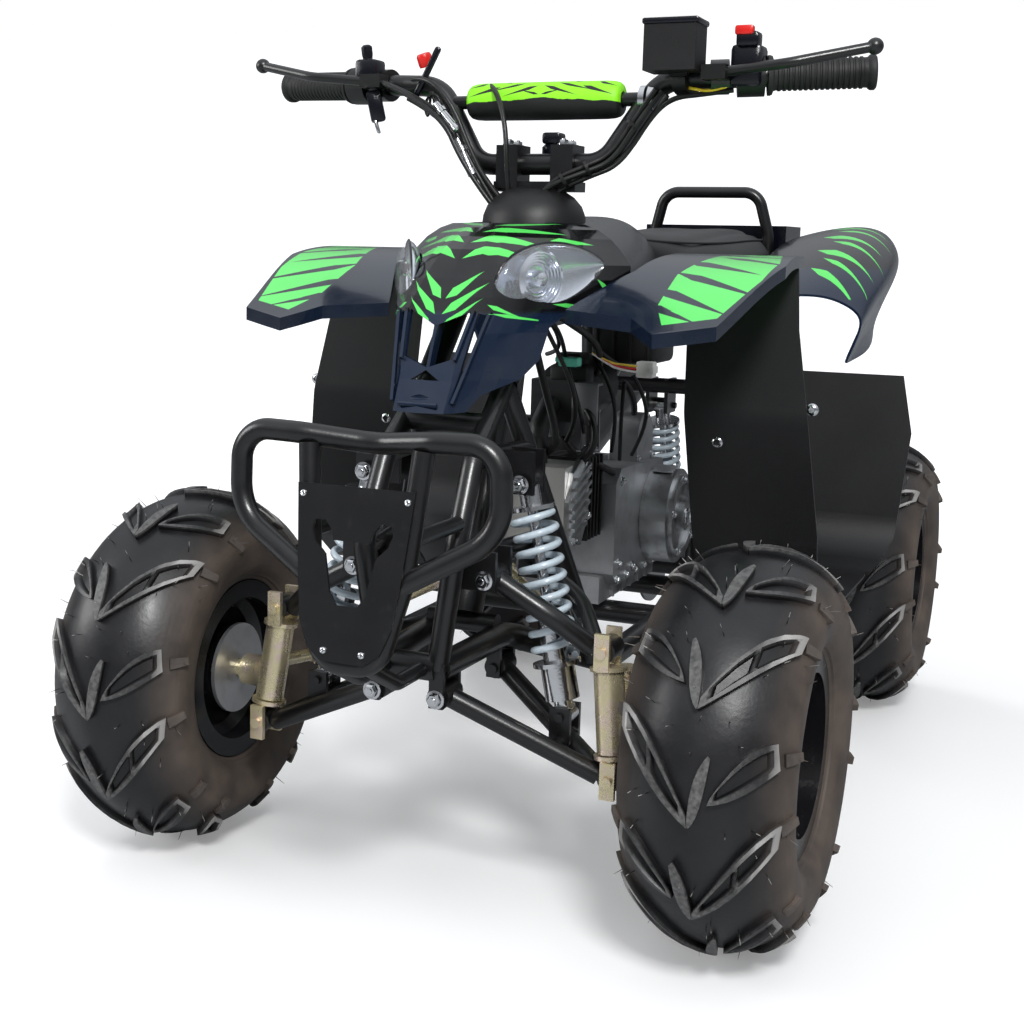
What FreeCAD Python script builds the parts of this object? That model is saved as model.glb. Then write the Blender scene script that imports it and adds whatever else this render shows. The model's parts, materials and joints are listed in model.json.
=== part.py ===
import FreeCAD, Part
import math
import os
import Sketcher
from FreeCAD import Placement, Rotation, Vector

# A small four-wheeled sport quad with steered front wheels, one open engine and a live rear axle.
# Millimetres. +Z is up, the quad faces -Y, its left side is +X.
# The origin is on the floor, under the middle of the box around the quad.

SIZES = (
    ("front_axle_y", -405, "front axle, from the origin"),
    ("wheelbase", 850, "front axle to rear axle"),
    ("front_track", 580, "middle to middle of the front tyres"),
    ("rear_track", 530, "middle to middle of the rear tyres"),
    ("tyre_radius", 183, "floor to axle, out to the tips of the lugs"),
    ("tyre_wall", 8, "thickness of a tyre's carcass"),
    ("tread_drop", 24, "crown of the tread to its shoulder"),
    ("tread_width", 120, "shoulder to shoulder"),
    ("sidewall_bulge", 12, "how far a sidewall stands outside the tread"),
    ("lug_height", 7, "height of the tread's lugs"),
    ("rim_width", 112, "between the rim's flanges"),
    ("rim_seat", 76, "radius of the bead seat"),
    ("rim_flange", 91, "radius of the rim's edge"),
    ("rim_plate", 3, "thickness of the rim's steel"),
    ("rim_well", 9, "depth of the rim's well"),
    ("front_dish", -10, "front wheel disc, from the middle of the tyre"),
    ("rear_dish", -14, "rear wheel disc, from the middle of the tyre"),
    ("seat_gap", 0.3, "between pieces that rest on each other"),
    ("run_gap", 5, "between a moving piece and what it passes"),
    ("hub_radius", 44, "brake drum in a front wheel"),
    ("drum_depth", 34, "length of that drum"),
    ("spindle_radius", 9, "stub axle of a front wheel"),
    ("axle_radius", 12.5, "rear axle"),
    ("kingpin_radius", 14, "tube that a front wheel steers on"),
    ("kingpin_length", 74, "length of that tube"),
    ("frame_tube", 12.5, "radius of the frame's main tubes"),
    ("stay_tube", 10, "radius of the frame's stays"),
    ("arm_tube", 9.5, "radius of the suspension arms"),
    ("bumper_tube", 9.5, "radius of the bumper's tube"),
    ("bumper_sheet", 3, "thickness of the bumper's plate"),
    ("bar_tube", 11, "radius of the handlebar"),
    ("grip_radius", 15.5, "radius of a rubber grip"),
    ("stem_radius", 11, "radius of the steering stem"),
    ("skin", 3, "thickness of the plastic panels"),
    ("lip", 12, "depth of the panels' turned edge"),
    ("spring_radius", 19, "middle of a spring's wire"),
    ("spring_wire", 3.4, "radius of that wire"),
    ("damper_radius", 12, "radius of a shock absorber's body"),
    ("rod_radius", 5, "radius of its rod"),
    ("tie_rod", 5, "radius of a tie rod"),
    ("sprocket_radius", 74, "rear sprocket, to the tips"),
    ("output_radius", 24, "sprocket on the engine, to the tips"),
    ("disc_radius", 80, "rear brake disc"),
    ("sprocket_sheet", 5, "thickness of that sprocket"),
    ("chain_line", 48, "drive chain, from the quad's middle"),
    ("chain_clear", 2, "between the sprocket's side and the chain's plates"),
    ("chain_plate", 1.6, "thickness of a chain plate"),
    ("pivot_bolt", 5, "radius of the arms' pivot bolts"),
    ("shock_bolt", 4, "radius of the bolts through the shock absorbers"),
    ("bolt_gap", 0.3, "between a bolt and its hole"),
    ("hoop_tube", 8, "radius of the grab bar"),
    ("cable", 2.6, "radius of a control cable"),
)

doc = FreeCAD.newDocument("QuadBike")
sheet = doc.addObject("Spreadsheet::Sheet", "Sizes")


class Size:
    """A length that keeps the sheet expression it was worked out from."""

    def __init__(self, value, text):
        self.value = float(value)
        self.text = text

    def __float__(self):
        return self.value

    def joined(self, other, sign, value):
        other_text = other.text if isinstance(other, Size) else repr(float(other))
        return Size(value, "(%s %s %s)" % (self.text, sign, other_text))

    def __add__(self, other):
        return self.joined(other, "+", self.value + float(other))

    def __sub__(self, other):
        return self.joined(other, "-", self.value - float(other))

    def __mul__(self, other):
        return self.joined(other, "*", self.value * float(other))

    def __truediv__(self, other):
        return self.joined(other, "/", self.value / float(other))

    def __radd__(self, other):
        return Size(other, repr(float(other))) + self

    def __rsub__(self, other):
        return Size(other, repr(float(other))) - self

    def __rmul__(self, other):
        return Size(other, repr(float(other))) * self

    def __neg__(self):
        return 0 - self


def read_sizes():
    """Writes the sheet and gives each of its cells by name."""
    sheet.set("A1", "size")
    sheet.set("B1", "mm")
    sheet.set("C1", "what it is")
    for row, (alias, value, note) in enumerate(SIZES, start=2):
        sheet.set("A%d" % row, alias)
        sheet.set("B%d" % row, str(value))
        sheet.set("C%d" % row, note)
        sheet.setAlias("B%d" % row, alias)
    doc.recompute()
    return {alias: Size(getattr(sheet, alias), "Sizes." + alias) for alias, _, _ in SIZES}


class Sizes:
    """The sheet's cells as attributes."""

    def __init__(self):
        self.__dict__.update(read_sizes())


S = Sizes()
SIDES = (("left", 1), ("right", -1))
UP = Vector(0, 0, 1)
FRONT_Y = float(S.front_axle_y)
REAR_Y = float(S.front_axle_y + S.wheelbase)
AXLE_Z = float(S.tyre_radius)
nodes = []


def front(x, y, z):
    """A point given from the front axle's middle, at floor height."""
    return Vector(float(x), FRONT_Y + float(y), float(z))


def rear(x, y, z):
    """A point given from the rear axle's middle, at floor height."""
    return Vector(float(x), REAR_Y + float(y), float(z))


def mirrored(point):
    """The same point on the quad's other side."""
    return Vector(-point.x, point.y, point.z)


def bind(item, name, size):
    """Sets one of an object's sizes and ties it to the sheet."""
    setattr(item, name, float(size))
    if isinstance(size, Size):
        item.setExpression(name, size.text)


def node(label, item):
    """Keeps an object as one of the quad's pieces."""
    item.Label = label
    nodes.append(item)
    return item


def facing(start, direction):
    """A placement at start whose Z axis points along direction."""
    return Placement(start, Rotation(UP, direction))


def fixed(name, shape):
    """An object whose shape is worked out here from the sheet's sizes."""
    item = doc.addObject("Part::Feature", name)
    item.Shape = shape
    return item


def rod(name, radius, start, end):
    """A round bar between two points."""
    item = doc.addObject("Part::Cylinder", name)
    bind(item, "Radius", radius)
    item.Height = (end - start).Length
    item.Placement = facing(start, end - start)
    return item


def block(name, size, middle, turn=None):
    """A box by its middle, turned about it."""
    item = doc.addObject("Part::Box", name)
    item.Length = size[0]
    item.Width = size[1]
    item.Height = size[2]
    turn = turn or Rotation()
    corner = Vector(*[-float(side) / 2 for side in size])
    item.Placement = Placement(middle + turn.multVec(corner), turn)
    return item


def fuse(name, items):
    """One solid from pieces that are welded or moulded together."""
    item = doc.addObject("Part::MultiFuse", name)
    item.Shapes = items
    item.Refine = False
    return item


def cut(name, base, tool):
    """A piece less the space of another."""
    item = doc.addObject("Part::Cut", name)
    item.Base = base
    item.Tool = tool
    item.Refine = False
    return item


def common(name, items):
    """What several shapes have in common."""
    item = doc.addObject("Part::MultiCommon", name)
    item.Shapes = items
    item.Refine = False
    return item


def pair(name, items):
    """Like pieces of one body that don't touch."""
    item = doc.addObject("Part::Compound", name)
    item.Links = items
    return item


def mirror(name, source):
    """The other side's copy of a piece."""
    item = doc.addObject("Part::Mirroring", name)
    item.Source = source
    item.Normal = Vector(1, 0, 0)
    item.Base = Vector(0, 0, 0)
    return item


def rounded_line(points, bend):
    """Straight runs joined by tangent arcs of the radius bend."""
    edges = []
    start = points[0]
    for before, corner, after in zip(points, points[1:], points[2:]):
        back = (before - corner).normalize()
        ahead = (after - corner).normalize()
        half = back.getAngle(ahead) / 2
        reach = float(bend) / math.tan(half)
        room = 0.48 * min((before - corner).Length, (after - corner).Length)
        reach = min(reach, room)
        middle = (back + ahead).normalize()
        radius = reach * math.tan(half)
        centre = corner + middle * (radius / math.sin(half))
        first = corner + back * reach
        last = corner + ahead * reach
        edges.append(Part.LineSegment(start, first).toShape())
        edges.append(Part.Arc(first, centre - middle * radius, last).toShape())
        start = last
    edges.append(Part.LineSegment(start, points[-1]).toShape())
    return Part.Wire(edges)


def pipe(name, points, radius, bend=30):
    """A bent tube along straight runs and arcs."""
    if len(points) == 2:
        return rod(name, radius, points[0], points[1])
    line = fixed(name + "_line", rounded_line(points, bend))
    ring = doc.addObject("Part::Circle", name + "_ring")
    bind(ring, "Radius", radius)
    ring.Placement = facing(points[0], points[1] - points[0])
    item = doc.addObject("Part::Sweep", name)
    item.Sections = [ring]
    item.Spine = (line, ["Edge%d" % (1 + index) for index in range(len(line.Shape.Edges))])
    item.Solid = True
    item.Frenet = False
    return item


def both(name, points, radius, bend=30):
    """The same tube on the left and on the right."""
    return [
        pipe(name + "_left", points, radius, bend),
        pipe(name + "_right", [mirrored(point) for point in points], radius, bend),
    ]


def band(points, thickness, inward):
    """A closed outline: a smooth curve through points and its copy, thickness away."""
    normal = (points[1] - points[0]).cross(points[-1] - points[0])
    if normal.Length < 1e-6:
        normal = (points[1] - points[0]).cross(inward)
    normal.normalize()
    shifted = []
    last = len(points) - 1
    for index, point in enumerate(points):
        along = points[min(index + 1, last)] - points[max(index - 1, 0)]
        side = along.cross(normal).normalize()
        if side.dot(inward) < 0 and index == 0:
            normal = normal * -1
            side = side * -1
        shifted.append(point + side * float(thickness))
    outer = Part.BSplineCurve()
    outer.interpolate(points)
    inner = Part.BSplineCurve()
    inner.interpolate(shifted)
    ends = (
        Part.LineSegment(points[-1], shifted[-1]).toShape(),
        Part.LineSegment(shifted[0], points[0]).toShape(),
    )
    return Part.Wire(Part.__sortEdges__([outer.toShape(), ends[0], inner.toShape(), ends[1]]))


def bent_sheet(points, bend, thickness):
    """The side view of a sheet bent along straight runs and arcs, thickness to its left."""
    line = rounded_line(points, bend)
    other = line.makeOffset2D(float(thickness), 0, False, True)
    ends = [vertex.Point for vertex in other.Vertexes]
    start = min(ends, key=lambda spot: (spot - points[0]).Length)
    end = min(ends, key=lambda spot: (spot - points[-1]).Length)
    edges = line.Edges + other.Edges
    edges.append(Part.LineSegment(points[0], start).toShape())
    edges.append(Part.LineSegment(points[-1], end).toShape())
    return Part.Face(Part.Wire(Part.__sortEdges__(edges)))


def capped(points):
    """A smooth curve over the top and a straight line back."""
    curve = Part.BSplineCurve()
    curve.interpolate(points)
    return Part.Wire([curve.toShape(), Part.LineSegment(points[-1], points[0]).toShape()])


def loft(name, wires, ruled=False):
    """A solid through a row of closed outlines."""
    sections = [fixed("%s_section_%d" % (name, 1 + index), wire) for index, wire in enumerate(wires)]
    item = doc.addObject("Part::Loft", name)
    item.Sections = sections
    item.Solid = True
    item.Ruled = ruled
    return item


def prism(name, points, depth):
    """A straight-sided piece on an outline of corner points."""
    face = fixed(name + "_outline", Part.Face(Part.makePolygon(points + [points[0]])))
    item = doc.addObject("Part::Extrusion", name)
    item.Base = face
    item.Dir = depth
    item.LengthFwd = depth.Length
    item.Solid = True
    return item


def outline(sketch, corners, curves=None):
    """Draws a closed outline whose corners are tied to the sheet.

    curves gives, by corner number, the radius of the stretch after that corner; a radius below
    zero bulges to the right of the way that the outline runs.
    """
    curves = curves or {}
    ends = []
    count = len(corners)
    for index, corner in enumerate(corners):
        after = corners[(index + 1) % count]
        start = Vector(float(corner[0]), float(corner[1]), 0)
        end = Vector(float(after[0]), float(after[1]), 0)
        if index not in curves:
            geometry = sketch.addGeometry(Part.LineSegment(start, end))
            ends.append((geometry, 1, 2))
            continue
        radius = float(curves[index])
        chord = end - start
        left = Vector(-chord.y, chord.x, 0).normalize()
        depth = math.sqrt(radius * radius - chord.Length ** 2 / 4)
        side = 1 if radius > 0 else -1
        centre = (start + end) * 0.5 - left * depth * side
        circle = Part.Circle(centre, UP, abs(radius))
        first, second = (end, start) if side > 0 else (start, end)
        geometry = sketch.addGeometry(
            Part.ArcOfCircle(circle, circle.parameter(first), circle.parameter(second)))
        ends.append((geometry, 2, 1) if side > 0 else (geometry, 1, 2))
    links = []
    for index in range(count):
        geometry, _, last = ends[index]
        following, first, _ = ends[(index + 1) % count]
        links.append(Sketcher.Constraint("Coincident", geometry, last, following, first))
    for link in links:
        sketch.addConstraint(link)
    for index, corner in enumerate(corners):
        geometry, first, _ = ends[index]
        for kind, value, axis in (("DistanceX", corner[0], -2), ("DistanceY", corner[1], -1)):
            if float(value) == 0:
                sketch.addConstraint(Sketcher.Constraint("PointOnObject", geometry, first, axis))
                continue
            row = sketch.addConstraint(Sketcher.Constraint(kind, -1, 1, geometry, first, float(value)))
            if isinstance(value, Size):
                sketch.setExpression("Constraints[%d]" % row, value.text)
    for index, radius in curves.items():
        size = radius if float(radius) > 0 else -radius
        row = sketch.addConstraint(Sketcher.Constraint("Radius", ends[index][0], float(size)))
        if isinstance(size, Size):
            sketch.setExpression("Constraints[%d]" % row, size.text)


def plane_of(body, role):
    """One of a body's own origin planes or axes."""
    return [item for item in body.Origin.OriginFeatures if item.Role == role][0]


def turned(name, corners, curves=None, middle=None):
    """A body turned about the X axis from an outline of (along, radius) corners."""
    body = doc.addObject("PartDesign::Body", name)
    sketch = body.newObject("Sketcher::SketchObject", name + "_profile")
    sketch.AttachmentSupport = [(plane_of(body, "XY_Plane"), "")]
    sketch.MapMode = "FlatFace"
    outline(sketch, corners, curves)
    spin = body.newObject("PartDesign::Revolution", name + "_turned")
    spin.Profile = sketch
    spin.ReferenceAxis = (sketch, ["H_Axis"])
    spin.Angle = 360
    if middle is not None:
        body.Placement = Placement(middle, Rotation())
    return body


def padded_plate(name, corners, thickness, place, curves=None):
    """A flat plate from an outline."""
    body = doc.addObject("PartDesign::Body", name)
    sketch = body.newObject("Sketcher::SketchObject", name + "_profile")
    sketch.AttachmentSupport = [(plane_of(body, "XY_Plane"), "")]
    sketch.MapMode = "FlatFace"
    outline(sketch, corners, curves)
    pad = body.newObject("PartDesign::Pad", name + "_pad")
    pad.Profile = sketch
    bind(pad, "Length", thickness)
    body.Placement = place
    return body


# The wheels


TYRE_STEPS = 16
TREAD_STATIONS = 12
# Places across the tread and along it, as pairs of a lug's two edges
LONG_LUG = (((62, 58), (64, 84)), ((28, 22), (31, 58)), ((3, -10), (-13, 34)))
SHORT_LUG = (((16, 2), (19, 20)), ((60, 30), (57, 56)))


def around(across, radius, turn):
    """A point of a wheel: along its axle, out from it and around it."""
    return Vector(across, -radius * math.cos(turn), radius * math.sin(turn))


def faceted(faces):
    """A solid from the flat faces that close it."""
    shell = Part.makeShell([Part.Face(Part.makePolygon(face + face[:1])) for face in faces])
    solid = Part.makeSolid(shell)
    return solid if solid.Volume > 0 else solid.reversed()


def crown_radius():
    """The arc of the tread, seen from ahead."""
    half = float(S.tread_width) / 2
    drop = float(S.tread_drop)
    return (half * half + drop * drop) / (2 * drop)


def crown(across):
    """Radius of the carcass under the lugs at a place across the tread."""
    arc = crown_radius()
    return float(S.tyre_radius - S.lug_height) - arc + math.sqrt(arc * arc - across * across)


def carcass():
    """The tyre without its lugs, in flat facets."""
    open_out = 1 / math.cos(math.pi / TYRE_STEPS)
    bead = float(S.rim_width / 2 - S.seat_gap)
    heel = float(S.rim_seat + S.seat_gap) * open_out
    edge = float(S.rim_flange + 0.6) * open_out
    wall = float(S.tyre_wall)
    wide = float(S.tread_width) / 2
    bulge = wide + float(S.sidewall_bulge)
    belly = (heel + crown(wide)) / 2 + 12
    half = (
        (bead, heel),
        (bead, edge),
        (bulge, belly),
        (wide - 2, crown(wide - 2)),
        (wide / 2, crown(wide / 2)),
    )
    profile = [(0, crown(0))]
    profile += reversed(half)
    profile += [(bead - wall, heel), (0, crown(wide) - wall), (wall - bead, heel)]
    profile += [(-across, radius) for across, radius in half]
    faces = []
    for step in range(TYRE_STEPS):
        first = 2 * math.pi * step / TYRE_STEPS
        second = 2 * math.pi * (step + 1) / TYRE_STEPS
        for start, end in zip(profile, profile[1:] + profile[:1]):
            corners = ((start, first), (end, first), (end, second), (start, second))
            faces.append([around(*place, turn) for place, turn in corners])
    return faceted(faces)


def lug(pairs, side, start, height):
    """One rubber block that follows the crown; side is 1 or -1, start is in mm along the tread."""
    arc = crown_radius()
    base = float(S.tyre_radius - S.lug_height)
    ring = [first for first, _ in pairs] + [second for _, second in reversed(pairs)]
    top = []
    outward = Vector()
    for across, along in ring:
        lean = across * side / arc
        turn = (start + along) / base
        radius = crown(across) + height * math.sqrt(1 - lean * lean)
        top.append(around(across * side + height * lean, radius, turn))
        outward += around(lean, math.sqrt(1 - lean * lean), turn)
    depth = outward.normalize() * (height + 7)
    low = [corner - depth for corner in top]
    last = len(ring) - 1
    faces = []
    for index in range(len(pairs) - 1):
        for corners in ((index, index + 1, last - index), (index + 1, last - index - 1, last - index)):
            faces.append([top[corner] for corner in corners])
            faces.append([low[corner] for corner in reversed(corners)])
    for index in range(last + 1):
        after = (index + 1) % (last + 1)
        faces.append([top[index], low[index], low[after], top[after]])
    return faceted(faces)


def tyre_shape():
    """The balloon tyre with its arrow tread."""
    station = 2 * math.pi * float(S.tyre_radius - S.lug_height) / TREAD_STATIONS
    height = float(S.lug_height)
    lugs = []
    for index in range(TREAD_STATIONS):
        side = 1 if index % 2 else -1
        lugs.append(lug(LONG_LUG, side, index * station, height))
        lugs.append(lug(SHORT_LUG, -side, index * station + 10, height - 1))
    return carcass().multiFuse(lugs).removeSplitter()


TYRE_SHAPE = tyre_shape()


def tyre(name, middle):
    """One tyre at its wheel."""
    item = fixed(name, TYRE_SHAPE)
    item.Placement = Placement(middle, Rotation())
    return item


def rim(name, middle, side, dish):
    """A pressed steel wheel: flanges, bead seats, well and dished disc."""
    half = S.rim_width / 2
    inside = S.rim_seat - S.rim_plate
    well = S.rim_seat - S.rim_well
    under = well - S.rim_plate
    place = dish * side
    first = place - S.rim_plate / 2
    second = place + S.rim_plate / 2
    bore = S.axle_radius + 8
    corners = (
        (-half - S.rim_plate, S.rim_flange),
        (-half, S.rim_flange),
        (-half, S.rim_seat),
        (-half + 18, S.rim_seat),
        (-half + 27, well),
        (half - 27, well),
        (half - 18, S.rim_seat),
        (half, S.rim_seat),
        (half, S.rim_flange),
        (half + S.rim_plate, S.rim_flange),
        (half + S.rim_plate, inside),
        (half - 17, inside),
        (half - 26, under),
        (second, under),
        (second, bore),
        (first, bore),
        (first, under),
        (-half + 26, under),
        (-half + 17, inside),
        (-half - S.rim_plate, inside),
    )
    return turned(name, corners, None, middle)


def front_wheel(word, side):
    """One steered wheel with its brake drum."""
    middle = Vector(side * float(S.front_track) / 2, FRONT_Y, AXLE_Z)
    node("front_tyre_" + word, tyre("tyre_" + word, middle))
    disc = rim("front_disc_" + word, middle, side, S.front_dish)
    bore = S.spindle_radius + S.seat_gap
    face = (S.front_dish - S.rim_plate / 2) * side
    far = face - S.drum_depth * side
    near = (S.front_dish + S.rim_plate / 2 + 12) * side
    hub = S.axle_radius + 9
    wall = S.hub_radius - 5
    corners = (
        (far, S.hub_radius),
        (face, S.hub_radius),
        (face, hub),
        (near, hub),
        (near, bore),
        (face - 10 * side, bore),
        (face - 10 * side, wall),
        (far, wall),
    )
    drum = turned("front_drum_" + word, corners, None, middle)
    node("front_rim_" + word, fuse("front_wheel_" + word, [disc, drum]))


def rear_wheels():
    """The two driven wheels."""
    tyres = []
    rims = []
    for word, side in SIDES:
        middle = Vector(side * float(S.rear_track) / 2, REAR_Y, AXLE_Z)
        tyres.append(tyre("rear_tyre_" + word, middle))
        rims.append(rim("rear_disc_" + word, middle, side, S.rear_dish))
    node("rear_tyres", pair("rear_tyre_pair", tyres))
    node("rear_rims", pair("rear_rim_pair", rims))


def rear_axle():
    """The live axle with its hubs, sprocket and brake disc."""
    half = S.rear_track / 2
    flange = half + S.rear_dish - S.rim_plate / 2 - S.seat_gap
    end = flange + 34
    shaft = S.axle_radius
    big = shaft + 14
    small = shaft + 7
    line = S.chain_line
    tooth = S.sprocket_sheet / 2
    corners = (
        (-end, 0),
        (-end, shaft),
        (-flange, shaft),
        (-flange, 50),
        (-flange + 6, 50),
        (-flange + 6, big),
        (-flange + 34, small),
        (-flange + 34, shaft),
        (-line - 2, shaft),
        (-line - 2, S.disc_radius),
        (-line + 2, S.disc_radius),
        (-line + 2, small),
        (-line + 10, small),
        (-line + 10, shaft),
        (line - 10, shaft),
        (line - 10, small),
        (line - tooth, small),
        (line - tooth, S.sprocket_radius),
        (line + tooth, S.sprocket_radius),
        (line + tooth, shaft),
        (flange - 34, shaft),
        (flange - 34, small),
        (flange - 6, big),
        (flange - 6, 50),
        (flange, 50),
        (flange, shaft),
        (end, shaft),
        (end, 0),
    )
    node("rear_axle", turned("rear_axle_turned", corners, None, Vector(0, REAR_Y, AXLE_Z)))


# Steering knuckles and suspension

WHEEL_X = float(S.front_track) / 2
KINGPIN_TOP = front(WHEEL_X - 120, -24, 252)
KINGPIN_LOW = front(WHEEL_X - 109, -33, 156)
KINGPIN = (KINGPIN_TOP - KINGPIN_LOW).normalize()
KINGPIN_MIDDLE = (KINGPIN_TOP + KINGPIN_LOW) * 0.5
TIE_END = front(WHEEL_X - 122, 42, 214)
STEM_TOP = front(0, 212, 690)
STEM_LOW = front(0, 36, 262)
STEM = (STEM_TOP - STEM_LOW).normalize()


def along_stem(height):
    """The point of the stem's axis at a height above the floor."""
    return STEM_LOW + STEM * ((height - STEM_LOW.z) / STEM.z)


PITMAN = along_stem(300)
STEM_BACK = Vector(0, STEM.z, -STEM.y)
TIE_START = PITMAN + STEM_BACK * 54 + STEM * 17 + Vector(15, 0, 0)


def knuckle(word, side):
    """Kingpin tube, stub axle, steering arm and brake plate of one front wheel."""
    half = float(S.kingpin_length) / 2
    hub = Vector(WHEEL_X, FRONT_Y, AXLE_Z)
    inner = hub - Vector(82, 0, 0)
    top = KINGPIN_MIDDLE + KINGPIN * half
    low = KINGPIN_MIDDLE - KINGPIN * half
    tube = rod("kingpin_" + word, S.kingpin_radius, low, top)
    spindle = rod("spindle_" + word, S.spindle_radius, inner, hub + Vector(34, 0, 0))
    nut = rod("spindle_nut_" + word, 14, hub + Vector(float(S.front_dish) + 15, 0, 0),
              hub + Vector(float(S.front_dish) + 26, 0, 0))
    boss = rod("spindle_boss_" + word, 16, inner - Vector(8, 0, 0), inner + Vector(18, 0, 0))
    web = rod("knuckle_web_" + word, 11, KINGPIN_MIDDLE, inner)
    arm_line = [KINGPIN_MIDDLE, TIE_END + Vector(6, -30, -15), TIE_END + Vector(0, 0, -17)]
    arm = pipe("steering_arm_" + word, arm_line, 6.5, 12)
    eye = rod("steering_eye_" + word, 9, TIE_END - Vector(0, 0, 24), TIE_END - Vector(0, 0, 10.5))
    post = rod("steering_post_" + word, 3.5, TIE_END - Vector(0, 0, 20), TIE_END + Vector(0, 0, 14))
    cap = rod("steering_nut_" + word, 8, TIE_END + Vector(0, 0, 12), TIE_END + Vector(0, 0, 16))
    left = fuse("knuckle_solid_" + word, [tube, spindle, nut, boss, web, arm, eye, post, cap])
    plate_x = hub.x + float(S.front_dish - S.rim_plate / 2 - S.drum_depth - S.run_gap)
    plate = rod("brake_disc_" + word, 46, Vector(plate_x - 4, hub.y, hub.z), Vector(plate_x, hub.y, hub.z))
    hole = rod("brake_bore_" + word, S.spindle_radius + S.seat_gap, Vector(plate_x - 9, hub.y, hub.z),
               Vector(plate_x + 5, hub.y, hub.z))
    plate = cut("brake_cut_" + word, plate, hole)
    if side < 0:
        left = mirror("knuckle_mirror_" + word, left)
        plate = mirror("brake_mirror_" + word, plate)
    node("knuckle_" + word, left)
    node("brake_plate_" + word, plate)


FRONT_AXIS = Vector(0, 1, 0)
CROSS_AXIS = Vector(1, 0, 0)
FORK_REACH = 20
EAR = 5
INNER_BUSH = 30
TIP_BUSH = 28
TIP_TOP = KINGPIN_MIDDLE + KINGPIN * (float(S.kingpin_length) / 2 + 1 + FORK_REACH)
TIP_LOW = KINGPIN_MIDDLE - KINGPIN * (float(S.kingpin_length) / 2 + 1 + FORK_REACH)
UPPER_FRONT = front(66, -52, 322)
UPPER_REAR = front(72, 42, 318)
LOWER_FRONT = front(32, -76, 213)
LOWER_REAR = front(38, 44, 213)
SHOCK_TOP = front(80, -6, 404)
SHOCK_LOW = front(127, -14, 192)
REAR_SHOCK_TOP = rear(0, -152, 410)
REAR_SHOCK_LOW = rear(0, -110, 250)


def bush(name, middle, outer, bolt, length, axis=FRONT_AXIS):
    """A sleeve and the space for the bolt through it."""
    half = axis * (length / 2)
    sleeve = rod(name + "_sleeve", outer, middle - half, middle + half)
    space = rod(name + "_space", bolt + S.bolt_gap, middle - half * 2, middle + half * 2)
    return sleeve, space


def ears(name, middle, size, length, axis=FRONT_AXIS, shift=Vector(0, 0, 0)):
    """The two plates that stand beside a bush."""
    spread = axis * (length / 2 + float(S.seat_gap) + EAR / 2)
    return [
        block(name + "_ear_first", size, middle + spread + shift),
        block(name + "_ear_second", size, middle - spread + shift),
    ]


def bolt(name, middle, radius, length, axis=FRONT_AXIS):
    """A bolt that holds a bush between its ears."""
    half = axis * (length / 2 + EAR + 4)
    return rod(name + "_bolt", radius, middle - half, middle + half)


def kingpin_brackets():
    """The forks that hold each kingpin between the two arms."""
    half = float(S.kingpin_length) / 2 + 1
    pieces = []
    for word, sign in (("top", 1), ("low", -1)):
        face = KINGPIN_MIDDLE + KINGPIN * (half * sign)
        tip = KINGPIN_MIDDLE + KINGPIN * ((half + FORK_REACH) * sign)
        web = rod("bracket_web_" + word, 17, face, face + KINGPIN * (4 * sign))
        plates = ears("bracket_" + word, tip, (14, EAR, 34), TIP_BUSH)
        pin = bolt("bracket_" + word, tip, S.pivot_bolt, TIP_BUSH)
        pieces.append(fuse("bracket_" + word, [web, pin] + plates))
    pieces += [mirror("bracket_top_right", pieces[0]), mirror("bracket_low_right", pieces[1])]
    node("kingpin_brackets", pair("bracket_group", pieces))


def suspension_arms():
    """The two bent upper arms and the two lower arms."""
    reach = float(S.arm_tube) + 4
    sleeves = []
    spaces = []
    for name, place, length in (
            ("upper_front", UPPER_FRONT, INNER_BUSH),
            ("upper_rear", UPPER_REAR, INNER_BUSH),
            ("upper_tip", TIP_TOP, TIP_BUSH)):
        sleeve, space = bush(name, place, 11, S.pivot_bolt, length)
        sleeves.append(sleeve)
        spaces.append(space)
    inner = TIP_TOP - CROSS_AXIS * reach
    legs = [
        pipe("upper_front_leg", [UPPER_FRONT, front(120, -48, 292), inner - FRONT_AXIS * 3], S.arm_tube, 70),
        pipe("upper_rear_leg", [UPPER_REAR, front(126, 20, 292), inner + FRONT_AXIS * 3], S.arm_tube, 70),
    ]
    solid = fuse("upper_arm_solid", legs + sleeves)
    left = cut("upper_arm_left", solid, fuse("upper_arm_space", spaces))
    node("upper_arms", pair("upper_arm_pair", [left, mirror("upper_arm_right", left)]))
    sleeves = []
    spaces = []
    for name, place, length in (
            ("lower_front", LOWER_FRONT, INNER_BUSH),
            ("lower_rear", LOWER_REAR, INNER_BUSH),
            ("lower_tip", TIP_LOW, TIP_BUSH)):
        sleeve, space = bush(name, place, 11, S.pivot_bolt, length)
        sleeves.append(sleeve)
        spaces.append(space)
    inner = TIP_LOW - CROSS_AXIS * reach
    first = inner - FRONT_AXIS * 3
    second = inner + FRONT_AXIS * 3
    share = (SHOCK_LOW.x - LOWER_FRONT.x) / (first.x - LOWER_FRONT.x)
    cross_start = LOWER_FRONT + (first - LOWER_FRONT) * share
    cross_end = LOWER_REAR + (second - LOWER_REAR) * share
    ear_top = SHOCK_LOW.z + 8
    ear_height = ear_top - cross_start.z
    seat_low = Vector(SHOCK_LOW.x, SHOCK_LOW.y, ear_top - ear_height / 2)
    legs = [
        rod("lower_front_leg", S.arm_tube, LOWER_FRONT, first),
        rod("lower_rear_leg", S.arm_tube, LOWER_REAR, second),
        rod("lower_cross", 7, cross_start, cross_end),
    ]
    plates = ears("shock_seat", seat_low, (20, EAR, ear_height), 20)
    pin = bolt("shock_seat", SHOCK_LOW, S.shock_bolt, 20)
    solid = fuse("lower_arm_solid", legs + sleeves + plates)
    left = cut("lower_arm_left", solid, fuse("lower_arm_space", spaces))
    left = fuse("lower_arm_whole", [left, pin])
    node("lower_arms", pair("lower_arm_pair", [left, mirror("lower_arm_right", left)]))


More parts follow.
